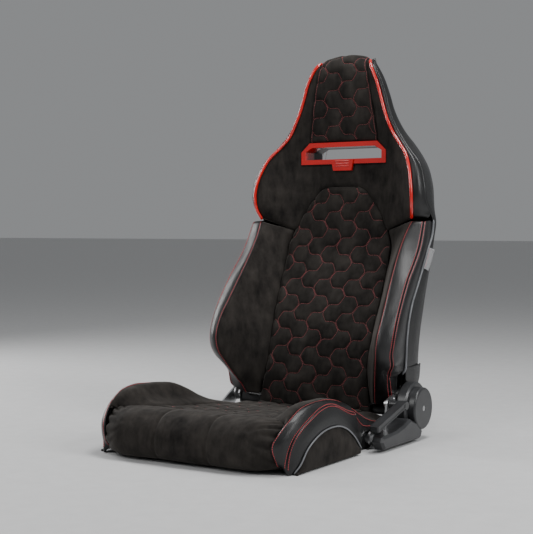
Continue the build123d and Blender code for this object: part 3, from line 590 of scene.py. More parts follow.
def centre_y(z):
    z = np.asarray(z, float)
    return hermite(CENTRE_Z, CENTRE_Y, z.ravel())[:, 0].reshape(z.shape)


# half-width of the quilted panel by height
ARCH_Z = np.array([52, 66, 74, 163, 230, 300, 380, 456, 489, 528, 566, 585, 594, 599])
ARCH_X = np.array([155, 155, 154, 139.5, 141, 145, 146.5, 145, 133, 112, 86, 69, 56, 44])

LOWER_PANEL_EDGE = [(155, 213.5, 70), (154, 214.5, 78), (143, 220, 130), (139.5, 224.5, 163), (141, 245, 230),
                    (145, 273.5, 300), (146.5, 309, 380), (145, 338.5, 456), (133, 345.5, 489)]
CREST = [(178, 190, 76), (182, 181, 96), (194, 157, 128), (206, 135, 162), (216, 118, 193), (219, 114, 218),
         (220, 120, 247), (220, 138, 278), (216, 168, 319), (211, 206, 371), (207.5, 246, 425),
         (208, 285, 476), (213.6, 312, 513)]
BAND_SEAM = [(221, 190, 92), (223, 184, 102), (225.5, 172, 138), (234, 157, 160), (246, 146, 177),
             (251.5, 132, 205), (254.5, 134, 230), (255, 150, 272), (251, 208, 360), (248, 283, 445),
             (244, 320, 512)]
WELT_LINE = [(228.5, 214, 112), (228.5, 214.5, 126), (229, 215, 140), (236, 216.5, 151), (243.5, 217, 162),
             (245, 218, 182), (245, 222, 224), (245, 231, 269), (244.8, 251.7, 317), (244.5, 277.7, 352.6),
             (244.5, 307.2, 395.2), (244.5, 336, 440), (244.5, 361, 475.6), (244.5, 371, 514)]
RED_LINE = [(66, 398, 915), (67, 390, 918), (70, 377, 916), (75, 365, 909), (80.5, 358, 899), (87, 354, 886),
            (98.5, 352, 861), (110, 352, 824), (120.5, 350, 791), (131.5, 347, 763), (148, 345, 730),
            (173, 335, 699), (195, 321, 673), (210, 308, 640), (219, 297.5, 606), (222.5, 294.5, 575),
            (221, 299.5, 544), (214, 315, 517)]
# middle plane of the upper front as (z, y), with one point for each of UPPER_PIPING
UPPER_MIDDLE = [(489, 345.5), (516, 351.3), (552, 355.5), (590, 359.2), (632, 362.5), (668, 365), (699, 366),
                (733, 363), (763, 360), (791, 358), (824, 356.5), (861, 356.5), (890, 358), (909, 361),
                (921, 367), (928.5, 377), (931, 389), (927, 400), (917, 405)]
# rear shell: height, front lip (x, y), corner (x, y), middle y
SHELL = [
    (158, (246, 220), (227, 326), 345), (200, (247, 222), (227, 330), 348),
    (253, (247, 229.5), (227, 342), 360),
    (318, (247, 254), (226, 365), 384), (371, (247, 291), (226, 383), 402), (425, (247, 328), (226, 401), 419),
    (476, (247, 361), (225, 413), 430), (512, (247, 371), (225, 419), 435), (534, (247, 352), (224, 421), 437),
    (560, (247, 328), (223, 423), 439), (600, (244, 322), (218, 428), 442), (650, (227, 333), (202, 431), 442),
    (700, (183, 348), (172, 428), 436), (735, (157, 357), (146, 420), 430), (785, (131, 362), (120, 412), 424),
    (830, (118, 364), (106, 408), 420), (880, (97, 368), (88, 404), 416), (903, (83, 373), (74, 401), 411),
    (918, (71, 386), (62, 401), 406),
]
SLOT_HALF, SLOT_LOW, SLOT_TOP = 121.5, 657, 712
SLOT_CUT_X, SLOT_CUT_Z = 24.5, 23       # size of the cut upper corners
SLOT_OUTLINE = np.array([(-SLOT_HALF, SLOT_LOW), (SLOT_HALF, SLOT_LOW), (SLOT_HALF, SLOT_TOP - SLOT_CUT_Z),
                         (SLOT_HALF - SLOT_CUT_X, SLOT_TOP), (SLOT_CUT_X - SLOT_HALF, SLOT_TOP),
                         (-SLOT_HALF, SLOT_TOP - SLOT_CUT_Z), (-SLOT_HALF, SLOT_LOW)], float)


def in_slot(x, z, margin):
    """Whether (x, z) is inside the harness slot's outline, shrunk by margin."""
    chamfer = (SLOT_HALF - np.abs(x)) * SLOT_CUT_Z + (SLOT_TOP - z) * SLOT_CUT_X - SLOT_CUT_Z * SLOT_CUT_X
    return ((np.abs(x) < SLOT_HALF - margin) & (z > SLOT_LOW + margin) & (z < SLOT_TOP - margin)
            & (chamfer > margin * math.hypot(SLOT_CUT_Z, SLOT_CUT_X)))


# ---------------------------------------------------------------- backrest: quilted panel
QUILT_ORIGIN_BACK = 83.7


def build_back_insert():
    z = np.linspace(52, 599, 900)
    s_all = lengths(np.stack([centre_y(z), z], axis=1))
    s = np.linspace(0, s_all[-1], 215)[:, None]
    z_row = np.interp(s, s_all, z)
    x = np.interp(z_row, ARCH_Z, ARCH_X) * np.linspace(-1, 1, 125)
    s_grid = np.broadcast_to(s, x.shape)
    patch = Patch(sheet(x, centre_y(z_row), z_row), facing(0, -1, 0.2))
    border = np.stack([ARCH_X, np.interp(ARCH_Z, z, s_all)], axis=1)
    border = np.concatenate([border, border[::-1] * [-1, 1], border[:1]])
    paths = quilt_paths(160, s_all[-1], origin=QUILT_ORIGIN_BACK)
    quilted(patch, x, s_grid, paths, flat_distance(x, s_grid, border), 4.2, 5.0, 11.0)
    add_panel("back_insert", patch, 26.0, SUEDE, BACK, "suede", padded=0.8, replaces=["back_center_pad"])

    def half_at(at):
        return np.interp(np.interp(at, s_all, z), ARCH_Z, ARCH_X)

    add_quilt_stitches("back_insert_stitches", patch, paths, BACK, s_all[-1], half_at,
                       lambda at: half_at(at) - 3, 3)


build_back_insert()


# ---------------------------------------------------------------- backrest: bolsters
BOLSTER_ROWS = 128
TUCK = math.hypot(10.0, 14.0)     # width of the strip that runs on under the quilted panel
SEAM_STITCH_R = 0.62
SEAM_STITCHES = {"length": 3.6, "gap": 1.3}


def add_double_seam(name, band, panel, body, trim=0):
    """Stitches along both sides of a band and along the panel beside it."""
    runs = [band.column(3.0, 0.25), band.column(-4.2, 0.25), panel.column(4.2, 0.25)]
    runs = [(line[trim:len(line) - trim], normal[trim:len(line) - trim]) for line, normal in runs]
    add_stitches(name, runs, SEAM_STITCH_R, SEAM_THREAD, body, "leather", **SEAM_STITCHES)


def build_bolster(label, side):
    inner, crest, seam, welt = (curve(line, BOLSTER_ROWS)
                                for line in (LOWER_PANEL_EDGE, CREST, BAND_SEAM, WELT_LINE))
    chord = crest - inner
    out = np.stack([chord[:, 1], -chord[:, 0], np.zeros(len(chord))], axis=1)
    out /= np.linalg.norm(out, axis=1, keepdims=True)
    out = out * np.sign(out[:, :1] * -1 + 1e-9)
    fade = np.sin(np.linspace(0.12, 1.0, BOLSTER_ROWS) * math.pi * 0.86)[:, None]
    rails = [inner + [-10.0, 14.0, 0.0], inner, inner + chord * 0.36, inner + chord * 0.74 + out * 3.0 * fade,
             crest, seam, welt]
    grids = loft(rails, [5, 12, 12, 9, 12, 26])
    face, band, panel = joined(grids[:4]), grids[4], grids[5]
    # low down, the side panel stays inside the plane of the pawl and the cam as the backrest folds
    panel[..., 0] = np.minimum(panel[..., 0], np.interp(panel[..., 2], [148, 175], [227.2, 262]))

    sewn_panel(f"back_bolster_suede_{label}", mirrored(face, side), facing(-side, -1, 0),
               [(4.0, 12, TUCK), (1.6, 6), (5.0, 14), (3.5, 10)], [(0.9, 46.0, 7), (0.3, 17.0, 8)],
               7.0, SUEDE, BACK, "suede", padded=0.85, replaces=[f"back_bolster_{label}"])
    crest_band = sewn_panel(f"back_bolster_band_{label}", mirrored(band, side), facing(side, -1, 0),
                            [(1.6, 5), (1.5, 4), (4.0, 12), (3.0, 9)], [(0.35, 30.0, 9)],
                            5.0, LEATHER, BACK, "leather", padded=0.85)
    left, right, _, _ = side_distances(panel)
    crown = 2.2 * np.clip(left / 60, 0, 1) * np.clip(right / 60, 0, 1) * np.clip(panel[..., 2] / 40 - 3.5, 0, 1)
    outer = sewn_panel(f"back_side_panel_{label}", mirrored(panel, side), facing(side, 0.2, 0),
                       [(1.5, 4), (2.5, 8), (3.0, 12), (3.0, 9)], [(0.5, 60.0, 10)],
                       4.0, LEATHER, BACK, "leather", extra=crown, padded=0.7)
    add_double_seam(f"back_bolster_stitches_{label}", crest_band, outer, BACK)

    # closing cover under the bolster
    front = mirrored(np.concatenate([face[0], band[0][1:], panel[0][1:]]), side)
    rear = sheet(front[:, 0], 236, front[:, 2] + 12)
    under = Patch(bands_between(front, rear, 8), facing(0, 0, -1)).push(-3.0)
    add_panel(f"back_bolster_underside_{label}", under, 3.0, LEATHER, BACK, "leather")


for label, side in SIDES.items():
    build_bolster(label, side)
    welt = mirrored(curve(WELT_LINE[3:], 110), side) + [side * 1.6, 0, 0]
    add_tube(f"back_welt_cord_{label}", welt, 3.0, GREY, BACK, "grey_piping", replaces=[f"back_welt_{label}"])


# ---------------------------------------------------------------- backrest: shoulders and head
UPPER_PIPING = RED_LINE[::-1] + [(66, 403, 906)]
UPPER_ARRAY = np.array([middle + point for middle, point in zip(UPPER_MIDDLE, UPPER_PIPING)], float)
UPPER_S = lengths(UPPER_ARRAY[:, [1, 0]])
WING_SEAM_FROM, WING_SEAM_TO = 133.0, 214.0


def upper_surface(s, c):
    """Front of the shoulders and head: s runs up the middle plane, c from -1 to 1 between the pipings."""
    row = hermite(UPPER_S, UPPER_ARRAY, s.ravel()).reshape(*s.shape, 5)
    zm, ym, px, py, pz = np.moveaxis(row, -1, 0)
    a = np.abs(c)
    start = 0.42 + 0.2 * np.clip((zm - 700) / 60, 0, 1)
    t = np.clip((a - start) / (1 - start), 0, 1)
    low = np.clip((zm - 489) / 60, 0, 1)
    ramp_low = np.clip((a * px - WING_SEAM_FROM) / (WING_SEAM_TO - WING_SEAM_FROM), 0, 1)
    rise = (1 - low) * ramp_low + low * a**2
    return np.stack([px * c, ym + (py - ym) * t**1.75, zm + (pz - zm) * rise], axis=-1)


HEAD_START_Z = 714.0
HEAD_START_S = float(np.interp(HEAD_START_Z, UPPER_ARRAY[:13, 0], UPPER_S[:13]))
HEAD_HALF_S = np.array([HEAD_START_S, UPPER_S[7], UPPER_S[9], UPPER_S[11], UPPER_S[13], UPPER_S[-1]])
HEAD_HALF_X = np.array([96.0, 95.5, 87.0, 75.0, 66.0, 55.0])


QUILT_ORIGIN_HEAD, QUILT_SHIFT_HEAD = 62.2, -6.0


def build_shoulders():
    s_grid, c_grid = np.meshgrid(np.linspace(0, UPPER_S[-1], 150), np.linspace(-1, 1, 121), indexing="ij")
    grid = upper_surface(s_grid, c_grid)
    x, z = np.abs(grid[..., 0]), grid[..., 2]
    left, right, low, _ = side_distances(grid)
    offset = rolled(np.minimum(left, right), 3.0, 9) + rolled(low, 4.0, 12)
    # seam round the quilted panel below, and the part that it covers
    arch = np.concatenate([np.stack([ARCH_X, ARCH_Z], axis=1), [[0.0, 600.0]]])
    to_arch = flat_distance(x, z, arch)
    covered = (x < np.interp(z, ARCH_Z, ARCH_X)) & (z < 599)
    offset += np.where(covered, -4.0 - np.clip(to_arch, 0, 8), rolled(to_arch, 4.0, 10))
    # the same round the head insert
    half = np.interp(s_grid, HEAD_HALF_S, HEAD_HALF_X)
    above = s_grid > HEAD_START_S
    to_head = np.where(above, np.abs(x - half), 99.0)
    offset += np.where(above & (x < half), -3.0 - np.clip(to_head, 0, 6), rolled(to_head, 3.0, 8))
    # the cover sinks to the bezel
    to_slot = flat_distance(grid[..., 0], z, SLOT_OUTLINE)
    offset += np.where(in_slot(grid[..., 0], z, 0), -2.5, rolled(to_slot, 2.5, 9))
    offset += 1.1 * smooth_noise(grid, 55.0, 21) + 0.35 * smooth_noise(grid, 18.0, 22)
    sewn_panel("shoulder_cover", grid, facing(0, -1, 0.25), [], [], 5.0, SUEDE, BACK, "suede", extra=offset,
               padded=0.8, replaces=["shoulder_pad"], keep=lambda p: ~in_slot(p[:, 0], p[:, 2], 3.0))


def build_head_insert():
    s = np.linspace(HEAD_START_S, UPPER_S[-1], 116)
    half = np.interp(s, HEAD_HALF_S, HEAD_HALF_X)
    piping_x = hermite(UPPER_S, UPPER_ARRAY, s)[:, 2]
    c = np.linspace(-1, 1, 76) * (half / piping_x)[:, None]
    s_grid = np.repeat(s[:, None], 76, 1)
    grid = upper_surface(s_grid, c)
    patch = Patch(grid, facing(0, -1, 0.3))
    left, right, low, high = side_distances(grid)
    edge = np.minimum(np.minimum(left, right), np.minimum(low, high + 4))
    length = s[-1] - s[0]
    paths = quilt_paths(100, length, origin=QUILT_ORIGIN_HEAD, x_offset=QUILT_SHIFT_HEAD)
    quilted(patch, grid[..., 0], s_grid - s[0], paths, edge, 3.8, 3.5, 9.0)
    add_panel("head_insert", patch, 6.0, SUEDE, BACK, "suede", padded=0.8, replaces=["head_pad"])
    add_quilt_stitches("head_insert_stitches", patch, paths, BACK, length,
                       lambda at: np.interp(at + s[0], s, half),
                       lambda at: np.interp(at + s[0], HEAD_HALF_S, HEAD_HALF_X) - 5, 3,
                       seams=[patch.column(4.2, 0.3), patch.column(-4.2, 0.3)])


build_shoulders()
build_head_insert()


# ---------------------------------------------------------------- backrest: shell and sides
def shell_line(pick, count, low=158.0, high=918.0):
    """One line of the rear shell from bottom to top."""
    z = np.array([row[0] for row in SHELL], float)
    values = np.array([pick(row) for row in SHELL], float)
    at = np.linspace(low, high, count)
    xy = hermite(z, values, at)
    return np.concatenate([xy, at[:, None]], axis=1)


def build_shell():
    lip, corner, rear, blend = (shell_line(pick, 200) for pick in (
        lambda row: row[1], lambda row: row[2], lambda row: (0.0, row[3]),
        lambda row: (row[2][0] * 0.62, row[3] - 1.5)))
    side = lip * 0.45 + corner * 0.55
    side[:, 0] += 6.0
    half = joined(loft([lip, side, corner + [3.0, -9.0, 0], corner + [-9.0, 3.0, 0], blend, rear],
                       [8, 8, 4, 12, 16]))
    grid = np.concatenate([half, mirrored(half, -1)[:, -2::-1]], axis=1)
    left, right, low, high = side_distances(grid)
    x, z = grid[..., 0], grid[..., 2]
    offset = rolled(np.minimum(left, right), 2.0, 7) + rolled(low, 3.0, 14) + rolled(high, 3.0, 10)
    # sewn seams down the rear: two lines beside the middle and one across the loins
    at_rear = grid[..., 1] > 330
    seam_x = np.interp(z, [158, 520, 640, 760, 926], [118, 128, 112, 74, 40])
    for distance in (np.abs(np.abs(x) - seam_x), np.where(np.abs(x) < seam_x, np.abs(z - 330), 99)):
        offset += np.where(at_rear, rolled(distance, 2.2, 7), 0)
    inside = at_rear & (np.abs(x) < seam_x)
    offset += np.where(inside, 3.0 * np.clip((seam_x - np.abs(x)) / 50, 0, 1), 0)
    offset += 0.7 * smooth_noise(grid, 80.0, 31)
    patch = sewn_panel("rear_shell_cover", grid, away(0, 300, 500), [], [], 3.5, LEATHER, BACK, "leather",
                       extra=offset, padded=0.5, replaces=["back_shell"],
                       keep=lambda p: ~(in_slot(p[:, 0], p[:, 2], 6.0) & (p[:, 1] > 380)))
    # a line of stitches on each side of the two long seams
    runs, middle = [], grid.shape[1] // 2
    rows = np.arange(4, grid.shape[0] - 6)
    for sign, first, last in ((-1, middle, grid.shape[1]), (1, 0, middle + 1)):
        for shift in (-4.5, 4.5):
            cols = [np.interp(-sign * (seam_x[k, 0] + shift), -x[k, first:last], np.arange(first, last))
                    for k in rows]
            runs.append(patch.at(rows * 1.0, np.array(cols), 0.25))
    add_stitches("rear_shell_stitches", runs, 0.6, SEAM_THREAD, BACK, "leather", **SEAM_STITCHES)


build_shell()


def build_side_flap(label, side):
    """The shell's leather runs on down to the hinge."""
    z = np.linspace(118, 168, 26)[:, None]
    front = np.interp(z, [118, 130, 140, 168], [236, 224, 219, 220])
    y = front + (np.interp(z, [118, 138, 168], [296, 314, 322]) - front) * np.linspace(0, 1, 48)
    grid = mirrored(sheet(246.6 - 9.0 * np.clip((y - 262) / 60, 0, 1)**1.5, y, z), side)
    sewn_panel(f"back_side_flap_{label}", grid, facing(side, 0.2, 0), [None, (2.5, 9), (2.5, 9)], [],
               3.0, LEATHER, BACK, "leather", extra=0.3 * smooth_noise(grid, 40.0, 33) - 0.3, padded=0.5)


for label, side in SIDES.items():
    build_side_flap(label, side)


def build_shoulder_band(label, side):
    front = curve(RED_LINE[::-1], 150)
    lip_all = shell_line(lambda row: row[1], 400, 512, 918)
    lip = curve(np.concatenate([[[246.0, 350.0, 521.0]], lip_all[20::20], [[68, 399, 914]]]), 150)
    middle = (front + lip) / 2
    bulge = np.interp(middle[:, 2], [517, 600, 700, 800, 926], [4.0, 5.0, 5.0, 4.0, 2.0])
    middle += bulge[:, None] * [0.9, -0.7, 0.0]
    band = joined(loft([front + [0, 3.0, 0], middle, lip], [8, 8]))
    patch = sewn_panel(f"shoulder_band_{label}", mirrored(band, side), facing(side, -0.4, 0),
                       [(2.0, 5), (1.5, 5), (2.5, 8)], [(0.4, 50.0, 41)],
                       5.0, LEATHER, BACK, "leather", padded=0.8)
    # closing cover under the wing
    bottom = patch.points[0]
    t = np.linspace(0, 1, len(bottom))
    inner = sheet(side * np.interp(t, [0, 1], [150, 214]), np.interp(t, [0, 1], [352, 372]), 508)
    under = Patch(bands_between(bottom, inner, 6), facing(0, 0, -1))
    add_panel(f"shoulder_wing_underside_{label}", under, 2.5, LEATHER, BACK, "leather")


for label, side in SIDES.items():
    build_shoulder_band(label, side)
    line = mirrored(curve(RED_LINE[2:], 240), side) - [0, 1.5, 0]
    add_tube(f"red_piping_cord_{label}", line, 3.8, RED, BACK, "red_gloss", replaces=[f"red_piping_{label}"])


def build_lower_cover():
    """Leather closing cover below the shell."""
    t = np.linspace(0, 1, 20)[:, None]
    grid = sheet(np.linspace(-190, 190, 40), np.interp(t, [0, 0.5, 1], [292, 322, 347]),
                 np.interp(t, [0, 0.5, 1], [77, 116, 158]))
    left, right, low, _ = side_distances(grid)
    crown = 4 * (np.clip(left / 60, 0, 1) * np.clip(right / 60, 0, 1) * np.clip(low / 40, 0, 1))
    sewn_panel("back_lower_cover", grid, facing(0, 1, -1), [], [], 3.0, LEATHER, BACK, "leather",
               extra=crown - 2 + 0.8 * smooth_noise(grid, 50, 44), replaces=["lower_back_panel"])


def build_back_hem():
    """Closing cover under the backrest, between its front panels and the lower cover."""
    profile = curve([(0, 237, 97), (0, 227, 72), (0, 224, 52), (0, 256, 60), (0, 292, 78)], 30)
    grid = sheet(np.linspace(-224, 224, 60), profile[:, 1:2], profile[:, 2:3])
    sewn_panel("back_hem", grid, away(0, 262, 90), [], [], 2.5, LEATHER, BACK, "leather",
               extra=0.8 * smooth_noise(grid, 40.0, 45))


build_lower_cover()
build_back_hem()


def build_tag():
    """Blank woven side tag, folded and sewn under the welt."""
    corners = np.array([(250.8, 305, 398), (245.8, 341, 390), (245.8, 378, 441), (250.8, 339, 447)], float)
    v, u = np.meshgrid(np.linspace(0, 1, 24), np.linspace(0, 1, 12), indexing="ij")
    weights = ((1 - u) * (1 - v), u * (1 - v), u * v, (1 - u) * v)
    grid = sum(corner * weight[..., None] for corner, weight in zip(corners, weights))
    grid[..., 0] += 1.2 * np.sin(u * math.pi * 0.9) + 0.4 * np.sin(v * 5)
    patch = Patch(grid, facing(1, 0, 0))
    add_panel("side_tag_cloth", patch, 0.8, TAG, BACK, "tag", replaces=["side_tag"])
    add_stitches("side_tag_stitches", [patch.at(np.linspace(1, 22, 60), np.full(60, 1.2), 0.15)], 0.35,
                 SEAM_THREAD, BACK, "tag", length=2.4)


build_tag()


def build_tab_bars():
    """Plain raised bars on the bezel's tab."""
    vertices, faces = [], []
    for k, (z, half) in enumerate(((664.5, 24.0), (658.0, 22.5), (651.5, 21.0))):
        for j, x in enumerate(np.linspace(-half, half, 9)):
            pinch = 0.35 if j in (0, 8) else 1.0
            vertices += [(x, y, z + rise * pinch)
                         for y, rise in ((355.4, -1.5), (353.9, -0.9), (353.9, 0.9), (355.4, 1.5))]
        base = k * 36
        for a in range(base, base + 32, 4):
            faces += [[a + i, a + 4 + i, a + 5 + i, a + 1 + i] for i in range(3)] + [[a + 3, a + 7, a + 4, a]]
        faces += [[base + 3, base + 2, base + 1, base], [base + 32, base + 33, base + 34, base + 35]]
    add_mesh("bezel_tab_bars", vertices, faces, RED, BACK, "red_gloss")


build_tab_bars()

# ---------------------------------------------------------------- seat: lines
SEAT_TOP = [(-232, 101), (-190, 97), (-150, 92), (-75, 85), (0, 79), (100, 68), (160, 63), (198, 62)]
SEAT_TOP_Y = np.array([p[0] for p in SEAT_TOP], float)
SEAT_TOP_Z = np.array([p[1] for p in SEAT_TOP], float)
SEAT_CREST = [(208, -280, 5), (216, -310, 24), (215, -325, 60), (225, -304, 91), (229, -289, 105),
              (230, -273, 116),
              (231, -248, 129), (232, -202, 137), (230, -165, 137.5), (227, -116, 135), (222, -78, 128.5),
              (220, -38, 115), (219, 2, 98), (218, 43, 79.5), (217, 85, 62), (217, 112, 55), (217, 150, 53.5),
              (216, 185, 54.5)]
SEAT_SEAM = [(235, -301, 2), (236.4, -300, 23.6), (239.6, -296, 49.8), (245.5, -287, 72.9), (249.8, -268, 90.3),
             (252, -232, 108), (252, -192, 122), (251.5, -158, 126.5), (251, -128, 122.5), (250, -102, 114),
             (247, -62, 100), (242, -20, 88), (234, 3, 73), (233, 30, 54), (233, 63, 47.5), (233, 102, 48),
             (228.5, 142, 50), (227, 185, 53)]
ARCH_LINE = [(244, -287, 3), (251, -274.5, 18.3), (256, -253.5, 47.5), (257.5, -220, 67), (257.5, -186, 77),
             (257.5, -149, 80), (257.5, -118, 77), (257, -84, 65), (256, -46, 40), (254.5, -20, 16)]


def seat_top(y):
    return hermite(SEAT_TOP_Y, SEAT_TOP_Z[:, None], np.asarray(y, float).ravel())[:, 0].reshape(np.shape(y))


SEAT_HALF = 145.0       # of the quilted panel


def build_seat_insert():
    y_all = np.linspace(-226, 199, 700)
    s_all = lengths(np.stack([y_all, seat_top(y_all)], axis=1))
    s = np.linspace(0, s_all[-1], 170)
    y = np.interp(s, s_all, y_all)[:, None]
    grid = sheet(np.linspace(-SEAT_HALF, SEAT_HALF, 118), y, seat_top(y))
    grid[..., 2] -= 5.0 * np.cos(np.clip(grid[..., 0] / SEAT_HALF, -1, 1) * math.pi / 2)
    patch = Patch(grid, facing(0, 0, 1))
    left, right, low, high = side_distances(grid)
    edge = np.minimum(np.minimum(left, right), np.minimum(low, high))
    paths = quilt_paths(150, s[-1])
    quilted(patch, grid[..., 0], np.repeat(s[:, None], 118, 1), paths, edge, 4.0, 5.0, 11.0)
    add_panel("seat_insert", patch, 12.0, SUEDE, SEAT, "suede", padded=0.75, replaces=["seat_center_pad"])
    add_quilt_stitches("seat_insert_stitches", patch, paths, SEAT, s[-1], lambda at: SEAT_HALF,
                       lambda at: SEAT_HALF - 4, 4)


build_seat_insert()

ROLL_PROFILE = [(-222, 97), (-232, 101), (-258, 106), (-285, 105.5), (-312, 97.5), (-331, 80), (-340, 58),
                (-341, 36), (-334, 18), (-320, 8), (-296, 6)]
ROLL_SEAM = 66.0        # the roll's two upright seams stand this far from the middle
# gathers that run out from the bolsters: share of the profile, x, lean, width, depth and reach
GATHERS = ((0.30, 210, 0.85, 5.0, 3.4, 34), (0.42, 204, 0.30, 4.6, 4.6, 44), (0.53, 208, -0.25, 5.2, 3.2, 30),
           (0.64, 203, -0.55, 4.8, 3.6, 36), (0.22, 196, 1.15, 6.0, 2.4, 30), (0.75, 206, -0.85, 5.5, 2.6, 32))


def build_front_roll():
    rows, cols = 74, 190
    profile = curve([(0, y, z) for y, z in ROLL_PROFILE], rows)
    x = np.linspace(-230, 230, cols)
    ax = np.abs(x)[None, :]
    grid = sheet(x, profile[:, 1:2], profile[:, 2:3])
    # rounded corners, whose ends sink under the bolster bands
    corner = np.clip((ax - 150) / 72, 0, 1) ** 2
    depth_share = np.clip((-232 - grid[..., 1]) / 108, 0, 1)
    underneath = np.clip((40 - grid[..., 2]) / 35, 0, 1)
    tucked = np.clip((ax - 211) / 19, 0, 1)
    grid[..., 1] += corner * (28.0 * depth_share + 6.0 * underneath) + 20.0 * tucked * depth_share
    grid[..., 2] = 55.0 + (grid[..., 2] - 55.0) * (1 - 0.12 * corner)
    pull = 1 - 0.05 * np.clip((ax - 200) / 30, 0, 1) ** 2
    for axis, centre in ((1, -280.0), (2, 55.0)):
        grid[..., axis] = centre + (grid[..., axis] - centre) * pull
    s = np.repeat(lengths(profile)[:, None], cols, 1)
    total = s.max()
    middle = np.sin(np.clip(s / total, 0, 1) * math.pi)
    offset = rolled(np.abs(ax - ROLL_SEAM), 2.8, 9) * (0.35 + 0.65 * middle)
    offset += 2.6 * middle * np.cos(np.clip(ax / ROLL_SEAM, 0, 1) * math.pi / 2) ** 0.6
    offset += 3.0 * middle * np.sin(np.clip((ax - ROLL_SEAM) / 130, 0, 1) * math.pi)
    for centre_s, centre_x, lean, width, depth, reach in GATHERS:
        for sign, shift in ((-1, 0.035), (1, 0.0)):
            along = centre_x - sign * grid[..., 0]
            line_s = (centre_s + shift) * total + lean * along * 0.8 + 3 * np.sin(along / 11 + centre_s * 9)
            fade = np.exp(-np.clip(along, 0, None) / reach * 1.6) * np.exp(-np.clip(-along, 0, None) / 30)
            offset -= depth * fade * np.exp(-((s - line_s) / width) ** 2)
            offset += 0.5 * depth * fade * np.exp(-((s - line_s - 2.2 * width) / width) ** 2)
    offset += 1.5 * smooth_noise(grid * [0.6, 1, 1], 34.0, 51) + 0.7 * smooth_noise(grid, 15.0, 52)
    sewn_panel("front_roll", grid, away(0, -280, 55), [None, None, (5.0, 12)], [], 10.0, SUEDE, SEAT, "suede",
               extra=offset, padded=0.8, replaces=["seat_front_roll"])


build_front_roll()
SEAT_ROWS = 150


def build_seat_bolster(label, side):
    crest, seam = curve(SEAT_CREST, SEAT_ROWS), curve(SEAT_SEAM, SEAT_ROWS)
    crest[:, 2] -= side * 3.0 * np.clip((crest[:, 2] - 100) / 30, 0, 1)
    # the suede face begins behind the roll
    first = int(np.argmax(crest[:, 2] > 101))
    top = crest[first:]
    y = top[:, 1]
    inner = sheet(SEAT_HALF, np.maximum(y, -268), seat_top(np.clip(y, -232, 198)) + 1)
    inner[:, 0] += np.clip((-245 - y) / 40, 0, 1) * 58
    inner[:, 2] -= np.clip((-222 - y) / 20, 0, 1) * 9
    rise = top - inner
    height = np.clip(rise[:, 2:3] / 50, 0, 1)
    third = inner + rise * 0.42 + np.array([0, 0, 1]) * (4 - 6 * height)
    later = inner + rise * [0.74, 0.74, 0.86] + np.array([0, 0, 1]) * (2 + 4 * height)
    face = joined(loft([inner, third, later, top, seam[first:]], [10, 8, 8, 10])[:3])
    sewn_panel(f"seat_bolster_suede_{label}", mirrored(face, side), facing(-side * 0.4, 0, 1),
               [(5.0, 12), (1.6, 6), (3, 10), (3, 10)], [(1.0, 42.0, 61), (0.4, 16.0, 62)],
               7.0, SUEDE, SEAT, "suede", padded=0.85, replaces=[f"seat_bolster_{label}"])

    push = sheet(0.35, np.interp(crest[:, 1], [-330, -290, -230], [-1, -0.6, -0.1]),
                 np.interp(crest[:, 1], [-330, -290, -230, 30, 60], [0.0, 0.7, 1.0, 1.0, 0.4]))
    bulge = np.interp(crest[:, 1], [-333, -290, 0, 60], [5, 6.5, 5, 1.5])[:, None]
    bands = joined(loft([crest, (crest + seam) / 2 + push * bulge, seam], [6, 6]))
    band = sewn_panel(f"seat_bolster_band_{label}", mirrored(bands, side), away(side * 150, -60, -60),
                      [(1.6, 5), (1.5, 4), (2.0, 8), (2.0, 8)], [(0.4, 34.0, 63)],
                      5.0, LEATHER, SEAT, "leather", padded=0.85)

    # skirt: leather down to the arch piping, suede inside the arch
    cut = int(np.argmax(seam[:, 1] > -20))
    upper, arch = curve(seam[:cut], 110), curve(ARCH_LINE, 110)
    skirt = joined(loft([upper, (upper + arch) / 2 + [2.0, 0, 0], arch], [8, 8]))
    skirt = sewn_panel(f"seat_skirt_{label}", mirrored(skirt, side), facing(side, 0, 0.1), [(1.5, 4), (2.0, 6)],
                       [(0.5, 45.0, 64)], 4.0, LEATHER, SEAT, "leather", padded=0.7)
    arch = curve(ARCH_LINE, 90)
    foot = sheet(254.5, arch[:, 1], np.minimum(arch[:, 2] - 0.5, 4.0))
    between = (arch * [1, 1, 0.5] + foot * [0, 0, 0.5]) + [0.8, 0, 0]
    lens = mirrored(joined(loft([arch - [1.2, 0, 0], between, foot], [12, 12])), side)
    sewn_panel(f"seat_skirt_insert_{label}", lens, facing(side, 0, 0), [(2.5, 8)], [],
               4.0, SUEDE, SEAT, "suede", extra=0.8 * smooth_noise(lens, 30.0, 65), padded=0.6)
    add_tube(f"seat_piping_cord_{label}", mirrored(arch + [1.2, 0, 0], side), 1.7, GREY, SEAT, "grey_piping",
             replaces=[f"seat_piping_{label}"])

    # tail of the skirt beside the rails
    tail_top = curve(seam[cut - 1:], 50)
    y = tail_top[:, 1]
    tail_low = sheet(np.interp(y, [-20, 22, 30, 110, 140, 185], [252, 238, 233, 233, 228.5, 227]), y,
                     np.interp(y, [-20, 22, 40, 60, 110, 190], [16, 34, 40, 40, 46, 46.5]))
    tail = joined(loft([tail_top, (tail_top + tail_low) / 2 + [0.8, 0, 0], tail_low], [5, 5]))
    add_panel(f"seat_skirt_tail_{label}", Patch(mirrored(tail, side), facing(side, 0, 0)), 3.0, LEATHER, SEAT,
              "leather")
    add_double_seam(f"seat_bolster_stitches_{label}", band, skirt, SEAT, trim=3)


for label, side in SIDES.items():
    build_seat_bolster(label, side)


def build_underlay():
    """Felt cover under the pads, on the springs."""
    x, y = np.meshgrid(np.linspace(-226, 226, 50), np.linspace(-228, 196, 46))
    grid = np.stack([x, y, np.full(x.shape, 49.5)], axis=-1)
    grid[..., 2] += 0.5 * smooth_noise(grid, 40.0, 71)
    add_panel("seat_underlay", Patch(grid, facing(0, 0, -1)), 2.0, FELT, SEAT, "suede")


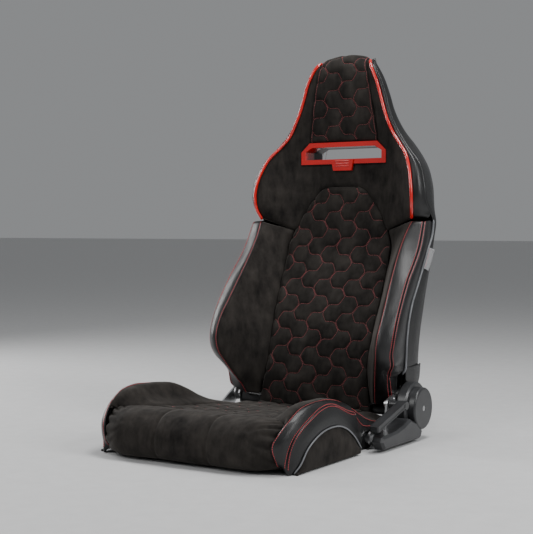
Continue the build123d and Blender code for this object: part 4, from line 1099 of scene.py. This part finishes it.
build_underlay()

# ---------------------------------------------------------------- floor, light and camera
FLOOR = coated("pale_floor", (0.60, 0.60, 0.60), (0.64, 0.64, 0.64), (0.7, 0.85), bump_scale=60.0, bump=0.1)
data = bpy.data.meshes.new("floor")
data.from_pydata([(-40, -40, 0), (40, -40, 0), (40, 40, 0), (-40, 40, 0)], [], [(0, 1, 2, 3)])
data.materials.append(FLOOR)
floor = bpy.data.objects.new("floor", data)
scene = bpy.context.scene
scene.collection.objects.link(floor)

world = bpy.data.worlds.new("studio")
world.use_nodes = True
background = world.node_tree.nodes["Background"].inputs
background["Color"].default_value = (0.86, 0.88, 0.90, 1.0)
background["Strength"].default_value = 0.30
scene.world = world


def aimed(name, data, place, direction):
    """A light or camera that looks along direction."""
    item = bpy.data.objects.new(name, data)
    item.location = place
    item.rotation_euler = direction.to_track_quat("-Z", "Y").to_euler()
    scene.collection.objects.link(item)
    return item


def area_light(name, place, target, width, height, power):
    light = bpy.data.lights.new(name, "AREA")
    light.shape = "RECTANGLE"
    light.size, light.size_y, light.energy = width, height, power
    aimed(name, light, place, Vector(target) - Vector(place))


area_light("key", (-1.2, -2.6, 2.4), (0, 0.1, 0.5), 1.6, 1.6, 38.0)
area_light("side_right", (2.3, 0.0, 1.7), (0.1, 0.1, 0.5), 0.4, 1.5, 36.0)
area_light("side_left", (-2.3, 0.35, 1.2), (-0.1, 0.2, 0.5), 0.4, 1.6, 30.0)
area_light("overhead", (0.6, 0.2, 2.6), (0.2, 0.0, 0.2), 0.8, 0.8, 38.0)

CAMERA_PLACE = Vector((1.496, -2.362, 0.496))
CAMERA_TURN, CAMERA_PITCH = math.radians(32.376), math.radians(1.86)
camera_data = bpy.data.cameras.new("camera")
camera_data.sensor_fit = "HORIZONTAL"
camera_data.sensor_width = 36.0
camera_data.lens = 82.4
view = Vector((-math.sin(CAMERA_TURN) * math.cos(CAMERA_PITCH),
               math.cos(CAMERA_TURN) * math.cos(CAMERA_PITCH), -math.sin(CAMERA_PITCH)))
scene.camera = aimed("camera", camera_data, CAMERA_PLACE, view)
